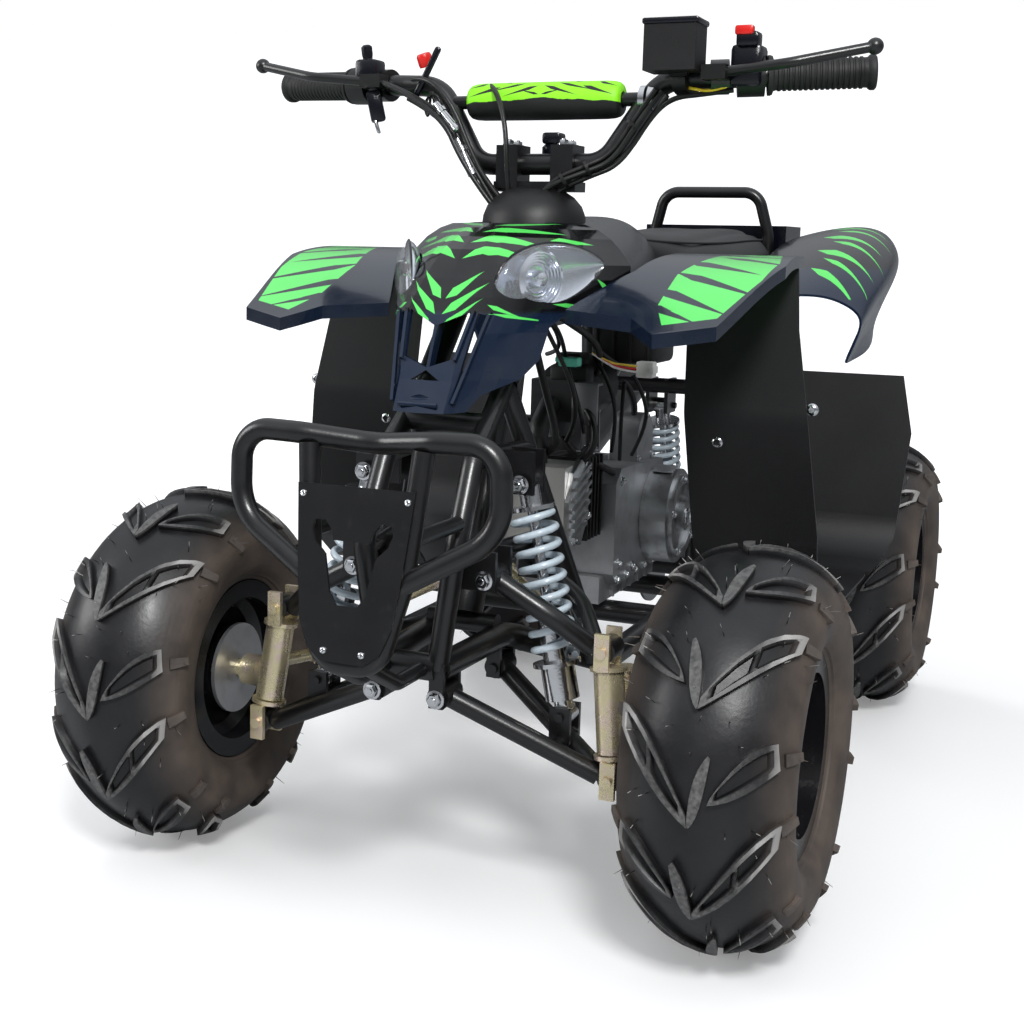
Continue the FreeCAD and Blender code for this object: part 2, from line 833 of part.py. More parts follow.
def coil(name, start, end, radius, wire, turns):
    """A coil spring with its ends drawn in."""
    length = (end - start).Length
    helix = Part.makeHelix(length / turns, length, float(radius))
    ring = Part.Wire([Part.Circle(Vector(float(radius), 0, 0), Vector(0, 1, 0), float(wire)).toShape()])
    solid = Part.Wire(helix.Edges).makePipeShell([ring], True, True)
    item = fixed(name, solid)
    item.Placement = facing(start, end - start)
    return item


def shock(name, top, low, across):
    """One damper: eyes, rod, body and spring seats."""
    axis = (top - low).normalize()
    across = across.normalize()
    body_end = low + axis * 92
    eye_top, space_top = bush(name + "_top", top, 10, S.shock_bolt, 20, across)
    eye_low, space_low = bush(name + "_low", low, 10, S.shock_bolt, 20, across)
    pieces = [
        eye_top,
        eye_low,
        rod(name + "_rod", S.rod_radius, low + axis * 30, top),
        rod(name + "_body", S.damper_radius - 3, low + axis * 4, low + axis * 20),
        rod(name + "_barrel", S.damper_radius, low + axis * 14, body_end),
        rod(name + "_cup", S.spring_radius - 3, low + axis * 14, low + axis * 46),
        rod(name + "_seat_low", S.spring_radius + S.spring_wire, low + axis * 46, low + axis * 50),
        rod(name + "_seat_top", S.spring_radius + S.spring_wire, top - axis * 26, top - axis * 22),
        rod(name + "_neck", S.damper_radius - 2, top - axis * 24, top - axis * 4),
    ]
    whole = cut(name, fuse(name + "_solid", pieces), fuse(name + "_spaces", [space_top, space_low]))
    wire = float(S.spring_wire) + float(S.seat_gap)
    return whole, low + axis * (50 + wire), top - axis * (26 + wire)


def shock_absorbers():
    """Two front shock absorbers and one behind, with their springs."""
    fore = Vector(0, 1, 0)
    side = Vector(1, 0, 0)
    left, spring_low, spring_top = shock("front_shock_left", SHOCK_TOP, SHOCK_LOW, fore)
    back, rear_low, rear_top = shock("rear_shock", REAR_SHOCK_TOP, REAR_SHOCK_LOW, side)
    right = mirror("front_shock_right", left)
    node("shock_absorbers", pair("shock_group", [left, right, back]))
    spring = coil("front_spring_left", spring_low, spring_top, S.spring_radius, S.spring_wire, 9)
    other = mirror("front_spring_right", spring)
    third = coil("rear_spring", rear_low, rear_top, S.spring_radius, S.spring_wire, 7)
    node("shock_springs", pair("spring_group", [spring, other, third]))


# Frame and what is bolted to it

RAIL_FRONT = front(30, -88, 240)
RAIL_WAIST = front(36, 56, 241)
RAIL_WIDE = front(116, 132, 206)
RAIL_BACK = rear(116, -300, 206)
PIVOT = rear(72, -222, 206)
TOWER_TOP = front(40, 30, 490)
TOP_RAIL = front(44, 118, 572)
SEAT_FRONT = rear(82, -300, 560)
TAIL = rear(84, 118, 560)
REAR_CROSS = rear(80, -175, 438)
TANK_REST = 572 - float(S.seat_gap)
FRONT_FRAME_END = 70
RAILS_BOTTOM = 392


def frame():
    """The welded steel frame, kept as the front tower, the engine's cradle and the seat rails."""
    low_bearing = along_stem(274)
    head = along_stem(571)
    pieces = []
    pieces += both("lower_rail", [RAIL_FRONT, RAIL_WAIST, RAIL_WIDE, RAIL_BACK, PIVOT], S.frame_tube, 36)
    pieces += both("upright", [RAIL_FRONT, front(46, -92, 350), front(44, -50, 430), TOWER_TOP], S.stay_tube, 60)
    pieces += both("tower", [TOWER_TOP, front(114, 110, 212)], S.stay_tube)
    pieces += both("top_rail", [TOWER_TOP, TOP_RAIL, SEAT_FRONT, TAIL], S.frame_tube, 60)
    pieces += both("seat_post", [PIVOT, rear(83, -222, 560)], S.frame_tube)
    pieces += both("tail_stay", [rear(77, -222, 400), rear(84, 60, 556)], S.stay_tube)
    pieces += both("shock_side", [front(44, -52, 427), front(57, 48, 427)], S.stay_tube)
    pieces += both("arm_side", [front(46, -92, 342), front(76, 73, 342)], S.stay_tube - 2)
    for name, point, radius in (
            ("front_cross", RAIL_FRONT, S.frame_tube),
            ("waist_cross", front(36, low_bearing.y - FRONT_Y - 4, 254), S.stay_tube),
            ("nose_cross", front(42, -15, 456), S.stay_tube),
            ("tower_cross", TOWER_TOP, S.stay_tube),
            ("head_cross", front(45, head.y - FRONT_Y - 18, 571), S.stay_tube),
            ("pivot_cross", PIVOT, S.frame_tube),
            ("shock_cross", REAR_CROSS, S.stay_tube),
            ("engine_cross_front", front(116, 340, 206), S.frame_tube),
            ("engine_cross_rear", front(116, 500, 206), S.frame_tube),
            ("tank_cross", front(92, 330, TANK_REST - 8), Size(8, "8")),
            ("seat_cross", rear(83, -120, 560), S.stay_tube),
            ("tail_cross", TAIL, S.stay_tube)):
        pieces.append(rod(name, radius, mirrored(point), point))
    for word, sign in SIDES:
        for name, place, length, size, shift in (
                ("lower_front", LOWER_FRONT, INNER_BUSH, (14, EAR, 42), Vector(0, 0, 12)),
                ("lower_rear", LOWER_REAR, INNER_BUSH, (14, EAR, 42), Vector(0, 0, 12)),
                ("upper_front", UPPER_FRONT, INNER_BUSH, (34, EAR, 36), Vector(-6, 0, 8)),
                ("upper_rear", UPPER_REAR, INNER_BUSH, (20, EAR, 36), Vector(0, 0, 8)),
                ("shock_top", SHOCK_TOP, 20, (46, EAR, 40), Vector(-12, 0, 10))):
            spot = Vector(sign * place.x, place.y, place.z)
            push = Vector(sign * shift.x, shift.y, shift.z)
            pieces += ears("%s_%s" % (name, word), spot, size, length, shift=push)
            radius = S.shock_bolt if name == "shock_top" else S.pivot_bolt
            pieces.append(bolt("%s_%s" % (name, word), spot, radius, length))
    pieces += ears("rear_shock", REAR_SHOCK_TOP, (EAR, 40, 46), 20, CROSS_AXIS, Vector(0, -10, 14))
    pieces.append(bolt("rear_shock", REAR_SHOCK_TOP, S.shock_bolt, 20, CROSS_AXIS))
    spaces = []
    for name, place, depth in (("low", low_bearing, 9.5), ("head", head, 30)):
        pieces.append(rod(name + "_bearing", S.stem_radius + 8, place - STEM * 13, place + STEM * 13))
        spaces.append(rod(name + "_bearing_space", S.stem_radius + S.bolt_gap,
                          place - STEM * depth, place + STEM * 30))
    whole = cut("frame_bored", fuse("frame_welded", pieces), fuse("bearing_spaces", spaces))
    reach = 2000
    ahead = front(0, FRONT_FRAME_END - reach / 2, 0)
    behind = front(0, FRONT_FRAME_END + reach / 2, 0)
    for label, middle in (
            ("frame_front", ahead),
            ("frame", behind + UP * (RAILS_BOTTOM - reach / 2)),
            ("seat_rails", behind + UP * (RAILS_BOTTOM + reach / 2))):
        space = block(label + "_space", (reach, reach, reach), middle)
        node(label, common(label + "_part", [whole, space]))


BUMPER_TOP = front(54, -178, 450)
BUMPER_BOTTOM = front(27, -206, 268)


def bumper():
    """The looped bull bar and the plate bolted to its front."""
    weld = front(42, -195, 338)
    loop = [
        weld,
        front(124, -176, 384),
        front(122, -176, 459),
        front(64, -178, 458),
        front(0, -156, 450),
    ]
    loop += [mirrored(point) for point in reversed(loop[:-1])]
    half = [BUMPER_TOP, front(44, -192, 340), BUMPER_BOTTOM]
    low = half + [mirrored(point) for point in reversed(half)]
    upright_face = -84 - float(S.stay_tube) - 3
    cross_face = RAIL_FRONT.y - FRONT_Y - float(S.frame_tube) - float(S.seat_gap)
    pieces = [
        pipe("bumper_loop", loop, S.bumper_tube, 46),
        pipe("bumper_u", low, S.bumper_tube, 24),
    ]
    pieces += both("bumper_stay", [front(48, -188, 376), front(50, upright_face, 376)], 7)
    pieces += both("bumper_foot", [front(18, -206, 268), front(18, -150, 240), front(18, cross_face, 240)], 7)
    node("front_bumper", fuse("bumper_welded", pieces))
    way = BUMPER_TOP - BUMPER_BOTTOM
    tilt = math.degrees(math.atan2(way.y, way.z))
    turn = Rotation(Vector(1, 0, 0), 90 - tilt)
    out = turn.multVec(UP)
    reach = float(S.bumper_tube) + float(S.seat_gap) - 0.3
    place = Placement(front(0, -206, 268) + out * reach, turn)
    half = ((20, 2), (34, 12), (43, 34), (48, 70), (55, 150))
    corners = half + tuple((-x, y) for x, y in reversed(half))
    sheet = padded_plate("plate_sheet", corners, S.bumper_sheet, place)
    half = ((10, 50), (17, 60), (24, 92), (34, 102), (38, 112), (36, 120), (26, 121), (19, 112), (17, 104))
    edge = [Vector(x, y, -20) for x, y in half + tuple((-x, y) for x, y in reversed(half))]
    hole = fixed("plate_hole", Part.Face(Part.makePolygon(edge + edge[:1])).extrude(UP * 40))
    hole.Placement = place
    node("bumper_plate", cut("plate_open", sheet, hole))


def half_outline(points, inset=0):
    """The left half of a level outline, moved inwards by inset."""
    moved = []
    for index, (x, y) in enumerate(points):
        before = points[max(index - 1, 0)]
        after = points[min(index + 1, len(points) - 1)]
        along = Vector(after[0] - before[0], after[1] - before[1], 0)
        if index == 0:
            along = Vector(1, 0, 0)
        along.normalize()
        moved.append((x - along.y * inset, y + along.x * inset))
    return moved


def level_section(points, height, inset=0, back=0):
    """A closed outline at one height: the left half, its mirror image and a straight back."""
    half = half_outline(points, inset)
    if back:
        half[-1] = (half[-1][0], half[-1][1] + back)
    left = [front(x, y, height) for x, y in half]
    corners = left + [mirrored(point) for point in reversed(left[1:])]
    return Part.makePolygon(corners + corners[:1])


# The mask's left half at each height: ridge, grille, cheek and lamp, back to the tank
MASK = (
    (470, ((0, -84), (25, -78), (30, -68), (37, -50), (45, -31), (56, -6), (68, 22), (96, 120))),
    (498, ((0, -67), (26, -63), (34, -54), (43, -37), (52, -15), (63, 6), (74, 30), (104, 120))),
    (519, ((0, -56), (26, -54), (38, -45), (47, -29), (57, -9), (67, 12), (78, 35), (110, 120))),
    (540, ((0, -47), (31, -42), (44, -31), (52, -18), (62, 0), (71, 18), (81, 40), (114, 122))),
    (556, ((0, -39), (35, -32), (48, -19), (56, -7), (65, 8), (74, 25), (85, 50), (119, 128))),
    (572, ((0, -27), (31, -24), (43, -14), (54, -1), (66, 12), (77, 32), (89, 60), (122, 134))),
    (588, ((0, -13), (27, -12), (40, -5), (53, 7), (67, 20), (79, 40), (93, 70), (124, 140))),
    (602, ((0, 0), (24, 2), (37, 10), (50, 24), (64, 40), (77, 60), (94, 86), (123, 144))),
    (615, ((0, 12), (20, 15), (32, 24), (45, 40), (58, 58), (73, 80), (88, 104), (112, 148))),
    (627, ((0, 34), (16, 38), (28, 47), (40, 62), (52, 80), (66, 98), (80, 118), (100, 149))),
    (636, ((0, 62), (13, 66), (24, 75), (34, 86), (46, 99), (58, 113), (68, 128), (86, 150))),
    (641, ((0, 96), (10, 98), (18, 103), (28, 110), (38, 118), (49, 127), (57, 138), (72, 151))),
)
# Lower edge of the cheeks in side view
CHEEK_EDGE = ((-60, 464), (-36, 484), (8, 497), (28, 514), (38, 545), (68, 560), (98, 565), (160, 572))
LAMP_INNER = front(42, -6, 578)
LAMP_TIP = front(107, 112, 603)


def across_body(name, corners, half_width):
    """A side view given from the front axle, extruded to both sides."""
    points = [front(-half_width, y, z) for y, z in corners]
    return prism(name, points, Vector(2 * half_width, 0, 0))


def facing_cut(name, corners, first, last):
    """A front view of (x, z) corners, extruded from one depth to another."""
    points = [front(x, first, z) for x, z in corners]
    return prism(name, points, Vector(0, last - first, 0))


def ridge(name, top, low, out, wide):
    """A raised rib between two points of the mask."""
    way = (low - top).normalize()
    turn = Rotation(Vector(1, 0, 0), way.cross(Vector(1, 0, 0)), way, "ZXY")
    return block(name, (wide, 2 * out, (low - top).Length), (top + low) * 0.5, turn)


def lamp(name, extra=0):
    """The swept almond body of one headlamp."""
    way = LAMP_TIP - LAMP_INNER
    length = way.Length
    points = [Vector(along * length, radius, 0) for along, radius in (
        (0, 0), (0.05, 17), (0.2, 30), (0.42, 33), (0.68, 25), (0.9, 11), (1, 0))]
    curve = Part.BSplineCurve()
    curve.interpolate(points)
    base = Part.LineSegment(points[-1], points[0]).toShape()
    egg = Part.Face(Part.Wire([curve.toShape(), base])).revolve(Vector(), Vector(1, 0, 0), 360)
    flat = FreeCAD.Matrix()
    flat.scale(Vector(1 + 2 * float(extra) / length, 1 + float(extra) / 32, 0.44 + float(extra) / 32))
    body = egg.transformGeometry(flat)
    body.translate(Vector(-float(extra), 0, 0))
    out = way.cross(UP).normalize()
    item = fixed(name, body)
    item.Placement = Placement(LAMP_INNER, Rotation(way, out.cross(way), out, "XZY"))
    return item


def nose_cowl():
    """The pointed mask: ridged hood, grille with its fin, double ribs, recess and cheeks."""
    skin = float(S.skin)
    outer = loft("mask_outer", [level_section(points, height) for height, points in MASK], True)
    inner_levels = [level_section(points, height - skin, skin, 20) for height, points in MASK]
    inner = loft("mask_inner", inner_levels, True)
    shell = cut("mask_shell", outer, inner)
    grille = facing_cut("grille_space", (
        (0, 546), (31, 560), (25, 518), (0, 509), (-25, 518), (-31, 560)), -110, 10)
    low_trim = across_body("cheek_trim", CHEEK_EDGE + ((160, 440), (-60, 440)), 150)
    spaces = [grille, low_trim]
    spaces.append(facing_cut("nose_hole", ((0, 507), (14, 498), (-14, 498)), -110, -40))
    recess = doc.addObject("Part::Ellipsoid", "nose_recess")
    bind(recess, "Radius1", 9)
    bind(recess, "Radius2", 19)
    bind(recess, "Radius3", 4)
    recess.Placement = Placement(front(0, -81, 487), Rotation(Vector(1, 0, 0), 55))
    spaces.append(recess)
    slot = facing_cut("rib_slot_left", ((36, 558), (43, 556), (29, 482), (28, 482)), -110, 20)
    spaces += [slot, mirror("rib_slot_right", slot)]
    pockets = [lamp("lamp_pocket_left", S.seat_gap)]
    pockets.append(mirror("lamp_pocket_right", pockets[0]))
    open_shell = cut("mask_open", shell, fuse("mask_spaces", spaces + pockets))
    inside_rib = ridge("inside_rib", front(33.5, -33, 560), front(26.5, -58, 516), 2.5, 3)
    outside_rib = ridge("outside_rib", front(46, -24, 559), front(30, -69, 478), 2.5, 3)
    lip = rod("nose_lip", 2, front(-19, -79, 477), front(19, -79, 477))
    fin = prism("grille_fin", [front(-1.5, y, z) for y, z in (
        (-42, 549), (-59, 508), (-48, 505), (-26, 552))], Vector(3, 0, 0))
    pieces = [open_shell, inside_rib, outside_rib, fin, lip]
    pieces += [mirror("inside_rib_right", inside_rib), mirror("outside_rib_right", outside_rib)]
    node("nose_cowl", fuse("nose_moulded", pieces))


def headlamps():
    """Two swept lamps in the mask."""
    left = lamp("lamp_left")
    node("headlamps", pair("lamp_pair", [left, mirror("lamp_right", left)]))


def moulded(name, plan, profile, lip=None):
    """A plastic panel: a plan outline cut from a curved sheet, with a turned-down edge."""
    low = min(point.z for point in profile) - 80
    high = max(point.z for point in profile) + 80
    base = [Vector(point.x, point.y, low) for point in plan]
    stock = prism(name + "_stock", base, Vector(0, 0, high - low))
    reach = 700
    sheet_wire = band([Vector(-reach / 2, point.y, point.z) for point in profile], S.skin, Vector(0, 0, -1))
    sheet_face = fixed(name + "_sheet_outline", Part.Face(sheet_wire))
    curved = doc.addObject("Part::Extrusion", name + "_sheet")
    curved.Base = sheet_face
    curved.Dir = Vector(1, 0, 0)
    curved.LengthFwd = reach
    curved.Solid = True
    top = common(name + "_top", [stock, curved])
    deep_wire = band([Vector(-reach / 2, point.y, point.z) for point in profile], lip or S.lip, Vector(0, 0, -1))
    deep_face = fixed(name + "_deep_outline", Part.Face(deep_wire))
    deep = doc.addObject("Part::Extrusion", name + "_deep")
    deep.Base = deep_face
    deep.Dir = Vector(1, 0, 0)
    deep.LengthFwd = reach
    deep.Solid = True
    inner_wire = Part.makePolygon(base + [base[0]]).makeOffset2D(-float(S.skin))
    inner_face = fixed(name + "_inner_outline", Part.Face(inner_wire))
    inner = doc.addObject("Part::Extrusion", name + "_inner")
    inner.Base = inner_face
    inner.Dir = Vector(0, 0, 1)
    inner.LengthFwd = high - low
    inner.Solid = True
    ring = cut(name + "_ring", stock, inner)
    edge = common(name + "_edge", [ring, deep])
    return fuse(name, [top, edge])


def front_fenders():
    """The two fender pads."""
    plan = [
        front(160, 34, 0),
        front(190, 2, 0),
        front(242, 24, 0),
        front(270, 165, 0),
        front(262, 284, 0),
        front(144, 262, 0),
        front(136, 190, 0),
        front(130, 138, 0),
        front(100, 66, 0),
        front(92, 46, 0),
    ]
    profile = [front(0, -20, 537), front(0, 60, 567), front(0, 160, 604), front(0, 230, 614), front(0, 300, 612)]
    left = moulded("fender_left", plan, profile)
    node("front_fenders", pair("fender_pair", [left, mirror("fender_right", left)]))


def mudguards():
    """Leg shield, foot well and rear mudguard of each side, in one bent sheet."""
    view = [
        front(0, 262, 601.8),
        front(0, 244, 450),
        front(0, 262, 290),
        front(0, 336, 234.4),
        rear(0, -296, 234.4),
        rear(0, -230, 262),
        rear(0, -214, 380),
        rear(0, -202, 470),
    ]
    sheet_face = fixed("mudguard_view", bent_sheet(view, 70, S.skin))
    bent = doc.addObject("Part::Extrusion", "mudguard_bent")
    bent.Base = sheet_face
    bent.Dir = Vector(1, 0, 0)
    bent.LengthFwd = 400
    bent.Solid = True
    start = front(0, 210, 0).y
    shield = [Vector(x, start, z) for x, z in (
        (150, 610), (262, 610), (268, 540), (284, 450), (298, 330), (300, 226), (176, 226), (166, 330), (156, 450))]
    flap_start = rear(0, -290, 0).y
    flap = [Vector(x, flap_start, z) for x, z in (
        (190, 226), (302, 226), (324, 270), (334, 400), (318, 474), (180, 474))]
    floor_low = Vector(176, start + 60, 226)
    trim = [
        prism("shield_trim", shield, Vector(0, 110, 0)),
        prism("flap_trim", flap, Vector(0, 110, 0)),
        block("floor_trim", (126, flap_start - start - 40, 60), Vector(239, (floor_low.y + flap_start + 20) / 2, 250)),
    ]
    left = common("mudguard_left", [bent, fuse("mudguard_trim", trim)])
    node("mudguards", pair("mudguard_pair", [left, mirror("mudguard_right", left)]))


def tank_cover():
    """The cover over the tank, between the hood and the seat."""
    sections = []
    for y, half, top, low in ((151.3, 118, 642, 560), (230, 108, 647, 560), (330, 88, 652, 572), (420, 66, 640, 586)):
        points = [
            front(half, y, low),
            front(half - 4, y, low + 0.55 * (top - low)),
            front(half * 0.62, y, top - 5),
            front(0, y, top),
            front(-half * 0.62, y, top - 5),
            front(-half + 4, y, low + 0.55 * (top - low)),
            front(-half, y, low),
        ]
        sections.append(band(points, S.skin, Vector(0, 0, -1)))
    shell = loft("tank_shell", sections)
    slot = rod("stem_slot", 36, along_stem(520), along_stem(690))
    node("tank_cover", cut("tank_cover_cut", shell, slot))


def seat():
    """The padded seat."""
    wires = []
    deck = TAIL.z + float(S.frame_tube + S.skin + S.seat_gap * 3)
    for y, half, top, low in ((-412, 46, 636, 604), (-340, 70, 632, deck + 6), (-200, 98, 634, deck),
                              (-60, 104, 640, deck), (20, 98, 640, deck)):
        wires.append(capped([
            rear(half * 0.96, y, low),
            rear(half, y, low + 0.5 * (top - low)),
            rear(half * 0.82, y, top - 8),
            rear(0, y, top),
            rear(-half * 0.82, y, top - 8),
            rear(-half, y, low + 0.5 * (top - low)),
            rear(-half * 0.96, y, low),
        ]))
    node("seat", loft("seat_cushion", wires))


def rear_fender():
    """The rear body with a wing over each wheel."""
    deck = TAIL.z + float(S.frame_tube) + float(S.seat_gap)
    sections = (
        (-206, ((112, 560), (190, 566), (244, 556), (264, 538), (262, 516), (250, 482))),
        (-130, ((112, 594), (196, 606), (252, 600), (272, 580), (266, 548), (252, 486))),
        (-40, ((112, 616), (200, 638), (256, 630), (275, 606), (264, 562), (248, 490))),
        (70, ((112, 634), (204, 654), (248, 642), (264, 612), (252, 562), (236, 498))),
        (160, ((130, 640), (196, 647), (232, 630), (244, 606), (238, 562), (222, 506))),
    )
    wires = []
    for y, points in sections:
        wires.append(band([rear(x, y, z) for x, z in points], S.skin, Vector(0, 0, -1)))
    left = loft("wing_left", wires)
    right = mirror("wing_right", left)
    base = block("fender_deck", (236, 300, float(S.skin)), rear(0, -30, deck + float(S.skin) / 2))
    walls = []
    for word, side in SIDES:
        wall = prism("fender_wall_" + word, [
            rear(side * 114, -180, deck), rear(side * 114, 120, deck), rear(side * 114, 120, 632),
            rear(side * 114, 60, 628), rear(side * 114, -40, 612), rear(side * 114, -130, 592),
            rear(side * 114, -180, 576)], Vector(float(S.skin) * side, 0, 0))
        walls.append(wall)
    node("rear_fender", fuse("fender_moulded", [left, right, base] + walls))


def grab_bar():
    """The hoop behind the seat."""
    foot = TAIL.z + float(S.frame_tube) + float(S.skin) + 2 * float(S.seat_gap)
    half = [rear(84, 56, foot), rear(84, 56, 640), rear(68, 50, 700)]
    points = half + [mirrored(point) for point in reversed(half)]
    node("grab_bar", pipe("hoop", points, S.hoop_tube, 26))


def rear_rack():
    """The ribbed carrier box behind the hoop."""
    foot = TAIL.z + float(S.frame_tube) + float(S.skin) + 2 * float(S.seat_gap)
    shell = block("rack_box", (208, 100, 56), rear(0, 130, 626))
    legs = []
    for word, side in SIDES:
        legs.append(block("rack_foot_" + word, (24, 30, 600 - foot), rear(side * 70, 98, (600 + foot) / 2)))
    node("rear_rack", fuse("rack_welded", [shell] + legs))


# Engine

OUTPUT_SHAFT = front(0, 572, 300)


def engine():
    """Crankcase, finned cylinder, covers and carburettor."""
    cradle = 206 + float(S.frame_tube) + float(S.seat_gap)
    line = float(S.chain_line)
    tooth = float(S.sprocket_sheet) / 2
    low = (250 + cradle) / 2
    case = [
        across_body("case_side", ((322, 252), (336, 238), (500, 238), (516, 252), (520, 340), (500, 366),
            (340, 372), (322, 356)), 60),
        rod("case_round", 64, front(-60, 470, 301), front(60, 470, 301)),
        block("case_sump", (96, 210, 250 - cradle), front(0, 415, low)),
        rod("tall_round", 31, front(18, 452, 394), front(52, 452, 394)),
        block("tall_neck", (34, 62, 60), front(35, 452, 364)),
        block("label_pad", (30, 50, 6), front(0, 400, 372)),
        rod("case_output", 24, front(-40, 556, 300), front(36, 556, 300)),
        rod("output_shaft", 9, OUTPUT_SHAFT + CROSS_AXIS * 30, OUTPUT_SHAFT + CROSS_AXIS * (line + 6)),
        rod("output_sprocket", S.output_radius, OUTPUT_SHAFT + CROSS_AXIS * (line - tooth),
            OUTPUT_SHAFT + CROSS_AXIS * (line + tooth)),
    ]
    for index in range(5):
        place = front(0, 350 + 32 * index, low)
        case.append(block("sump_fin_%d" % index, (106, 5, 246 - cradle), place))
    node("crankcase", fuse("crankcase_cast", case))
    barrel = [
        block("head_block", (86, 62, 86), front(0, 229, 345)),
        rod("barrel", 30, front(0, 240, 345), front(0, 321.7, 345)),
    ]
    for index in range(5):
        barrel.append(block("fin_%d" % index, (92, 4, 92), front(0, 268 + 11 * index, 345)))
    node("cylinder", fuse("cylinder_cast", barrel))
    magneto = [
        rod("magneto_bowl", 57, front(60.3, 470, 301), front(92, 470, 301)),
        rod("magneto_step", 50, front(90, 470, 301), front(98, 470, 301)),
    ]
    hollow = rod("magneto_hollow", 40, front(93, 470, 301), front(99, 470, 301))
    boss = rod("magneto_boss", 17, front(90, 470, 301), front(102, 470, 301))
    leaf = [front(43.3, y, z) for y, z in (
        (214, 303), (240, 300), (257, 322), (262, 352), (252, 384), (236, 394), (210, 382), (198, 352), (200, 322))]
    head = [prism("head_leaf", leaf, Vector(5, 0, 0))]
    for index in range(7):
        rib = front(50, 230 + 1.5 * (index - 3), 318 + 10.5 * index)
        head.append(block("head_rib_%d" % index, (7, 56 - 5 * abs(index - 3), 4), rib,
            Rotation(CROSS_AXIS, 18)))
    covers = [
        fuse("magneto_cast", [cut("magneto_ring", fuse("magneto_solid", magneto), hollow), boss]),
        rod("clutch", 52, front(-102, 486, 296), front(-60.3, 486, 296)),
        fuse("head_cover", head),
    ]
    node("engine_covers", pair("cover_group", covers))
    carb = [
        pipe("intake", [front(0, 228, 388.3), front(0, 228, 424), front(0, 262, 450)], 11, 20),
        block("carb_body", (48, 50, 46), front(0, 290, 452)),
        rod("carb_bowl", 17, front(0, 292, 412), front(0, 292, 440)),
        rod("air_filter", 34, front(0, 310, 458), front(0, 396, 462)),
    ]
    node("carburettor", fuse("carburettor_group", carb))


def exhaust():
    """Header pipe and silencer on the right-hand side."""
    points = [front(-30, 222, 301.7), front(-30, 222, 262), front(-92, 270, 248), front(-140, 420, 262),
              rear(-134, -186, 330)]
    header = pipe("header", points, 11, 30)
    muffler = rod("silencer", 38, rear(-134, -190, 326), rear(-134, 130, 430))
    tail = rod("tail_pipe", 10, rear(-134, 126, 430), rear(-134, 156, 440))
    node("exhaust", fuse("exhaust_welded", [header, muffler, tail]))


def footrests():
    """The tube loops that carry the foot wells."""
    inner = RAIL_WIDE.x + float(S.frame_tube) + float(S.seat_gap)
    points = [front(inner, 366, 206), front(200, 366, 206), front(270, 372, 222), rear(270, -312, 222),
              rear(200, -306, 206), rear(inner, -306, 206)]
    left = pipe("foot_loop", points, S.stay_tube - 1, 30)
    node("footrests", pair("foot_pair", [left, mirror("foot_loop_right", left)]))


def swingarm():
    """The rear arm with its bearing carrier."""
    start = PIVOT + Vector(20 - PIVOT.x, float(S.frame_tube) + float(S.seat_gap), 0)
    end = rear(20, -16, AXLE_Z + 7)
    share = (REAR_SHOCK_LOW.y - start.y) / (end.y - start.y)
    cross = start + (end - start) * share
    ear_top = REAR_SHOCK_LOW.z + 8
    ear_middle = Vector(0, REAR_SHOCK_LOW.y, (ear_top + cross.z) / 2)
    pieces = both("swing_leg", [start, end], S.stay_tube)
    pieces += [
        rod("carrier", S.axle_radius + 16, Vector(-31, REAR_Y, AXLE_Z), Vector(31, REAR_Y, AXLE_Z)),
        rod("swing_cross", S.stay_tube, mirrored(cross), cross),
    ]
    pieces += ears("swing_shock", ear_middle, (EAR, 30, ear_top - cross.z), 20, CROSS_AXIS)
    arm = fuse("swing_solid", pieces)
    bore = rod("carrier_bore", S.axle_radius + 1, Vector(-60, REAR_Y, AXLE_Z), Vector(60, REAR_Y, AXLE_Z))
    hollow = cut("swing_bored", arm, bore)
    pin = bolt("swing_shock", REAR_SHOCK_LOW, S.shock_bolt, 20, CROSS_AXIS)
    node("swingarm", fuse("swing_whole", [hollow, pin]))


def chain_loop(reach, small, length, half):
    """The outline of a chain of straight links around its two sprockets, half outside them."""
    lean = math.asin((reach - small) / length)
    corners = []
    for middle, radius, first, last, count in (
            (length, reach + half, math.pi / 2 + lean, -math.pi / 2 - lean, 10),
            (0, small + half, -math.pi / 2 - lean, -3 * math.pi / 2 + lean, 5)):
        for index in range(count + 1):
            turn = first + (last - first) * index / count
            corners.append(Vector(0, middle + radius * math.cos(turn), radius * math.sin(turn)))
    return Part.Face(Part.makePolygon(corners + corners[:1]))


def chain():
    """The drive chain's two plate rows and the pins between them."""
    line = float(S.chain_line)
    inside = float(S.sprocket_sheet) / 2 + float(S.chain_clear)
    plate = float(S.chain_plate)
    start = OUTPUT_SHAFT + Vector(line, 0, 0)
    way = Vector(line, REAR_Y, AXLE_Z) - start
    reach = float(S.sprocket_radius)
    small = float(S.output_radius) + 2.6
    lean_turn = math.degrees(math.atan2(way.z, way.y))
    turn = Rotation(CROSS_AXIS, lean_turn)
    lean = math.asin((reach - small) / way.Length)
    loop = chain_loop(reach, small, way.Length, 4).cut(chain_loop(reach, small, way.Length, -4))
    pieces = []
    for word, shift in (("inner", -inside - plate), ("outer", inside)):
        row = fixed("chain_" + word, loop.extrude(Vector(plate, 0, 0)))
        row.Placement = Placement(start + Vector(shift, 0, 0), turn)
        pieces.append(row)
    spots = []
    for angle in (140, 180, 220):
        spots.append(Vector(0, small * math.cos(math.radians(angle)), small * math.sin(math.radians(angle))))
    for index in range(1, 7):
        for sign in (1, -1):
            share = 0.08 + 0.115 * index
            height = small + (reach - small) * share
            spots.append(Vector(0, way.Length * share - height * math.sin(lean), sign * height * math.cos(lean)))
    for index, spot in enumerate(spots):
        size = (2 * inside + plate, 3.4, 3.4)
        pieces.append(block("chain_pin_%d" % (1 + index), size, start + turn.multVec(spot), turn))
    node("chain", fuse("chain_solid", pieces))


# Steering


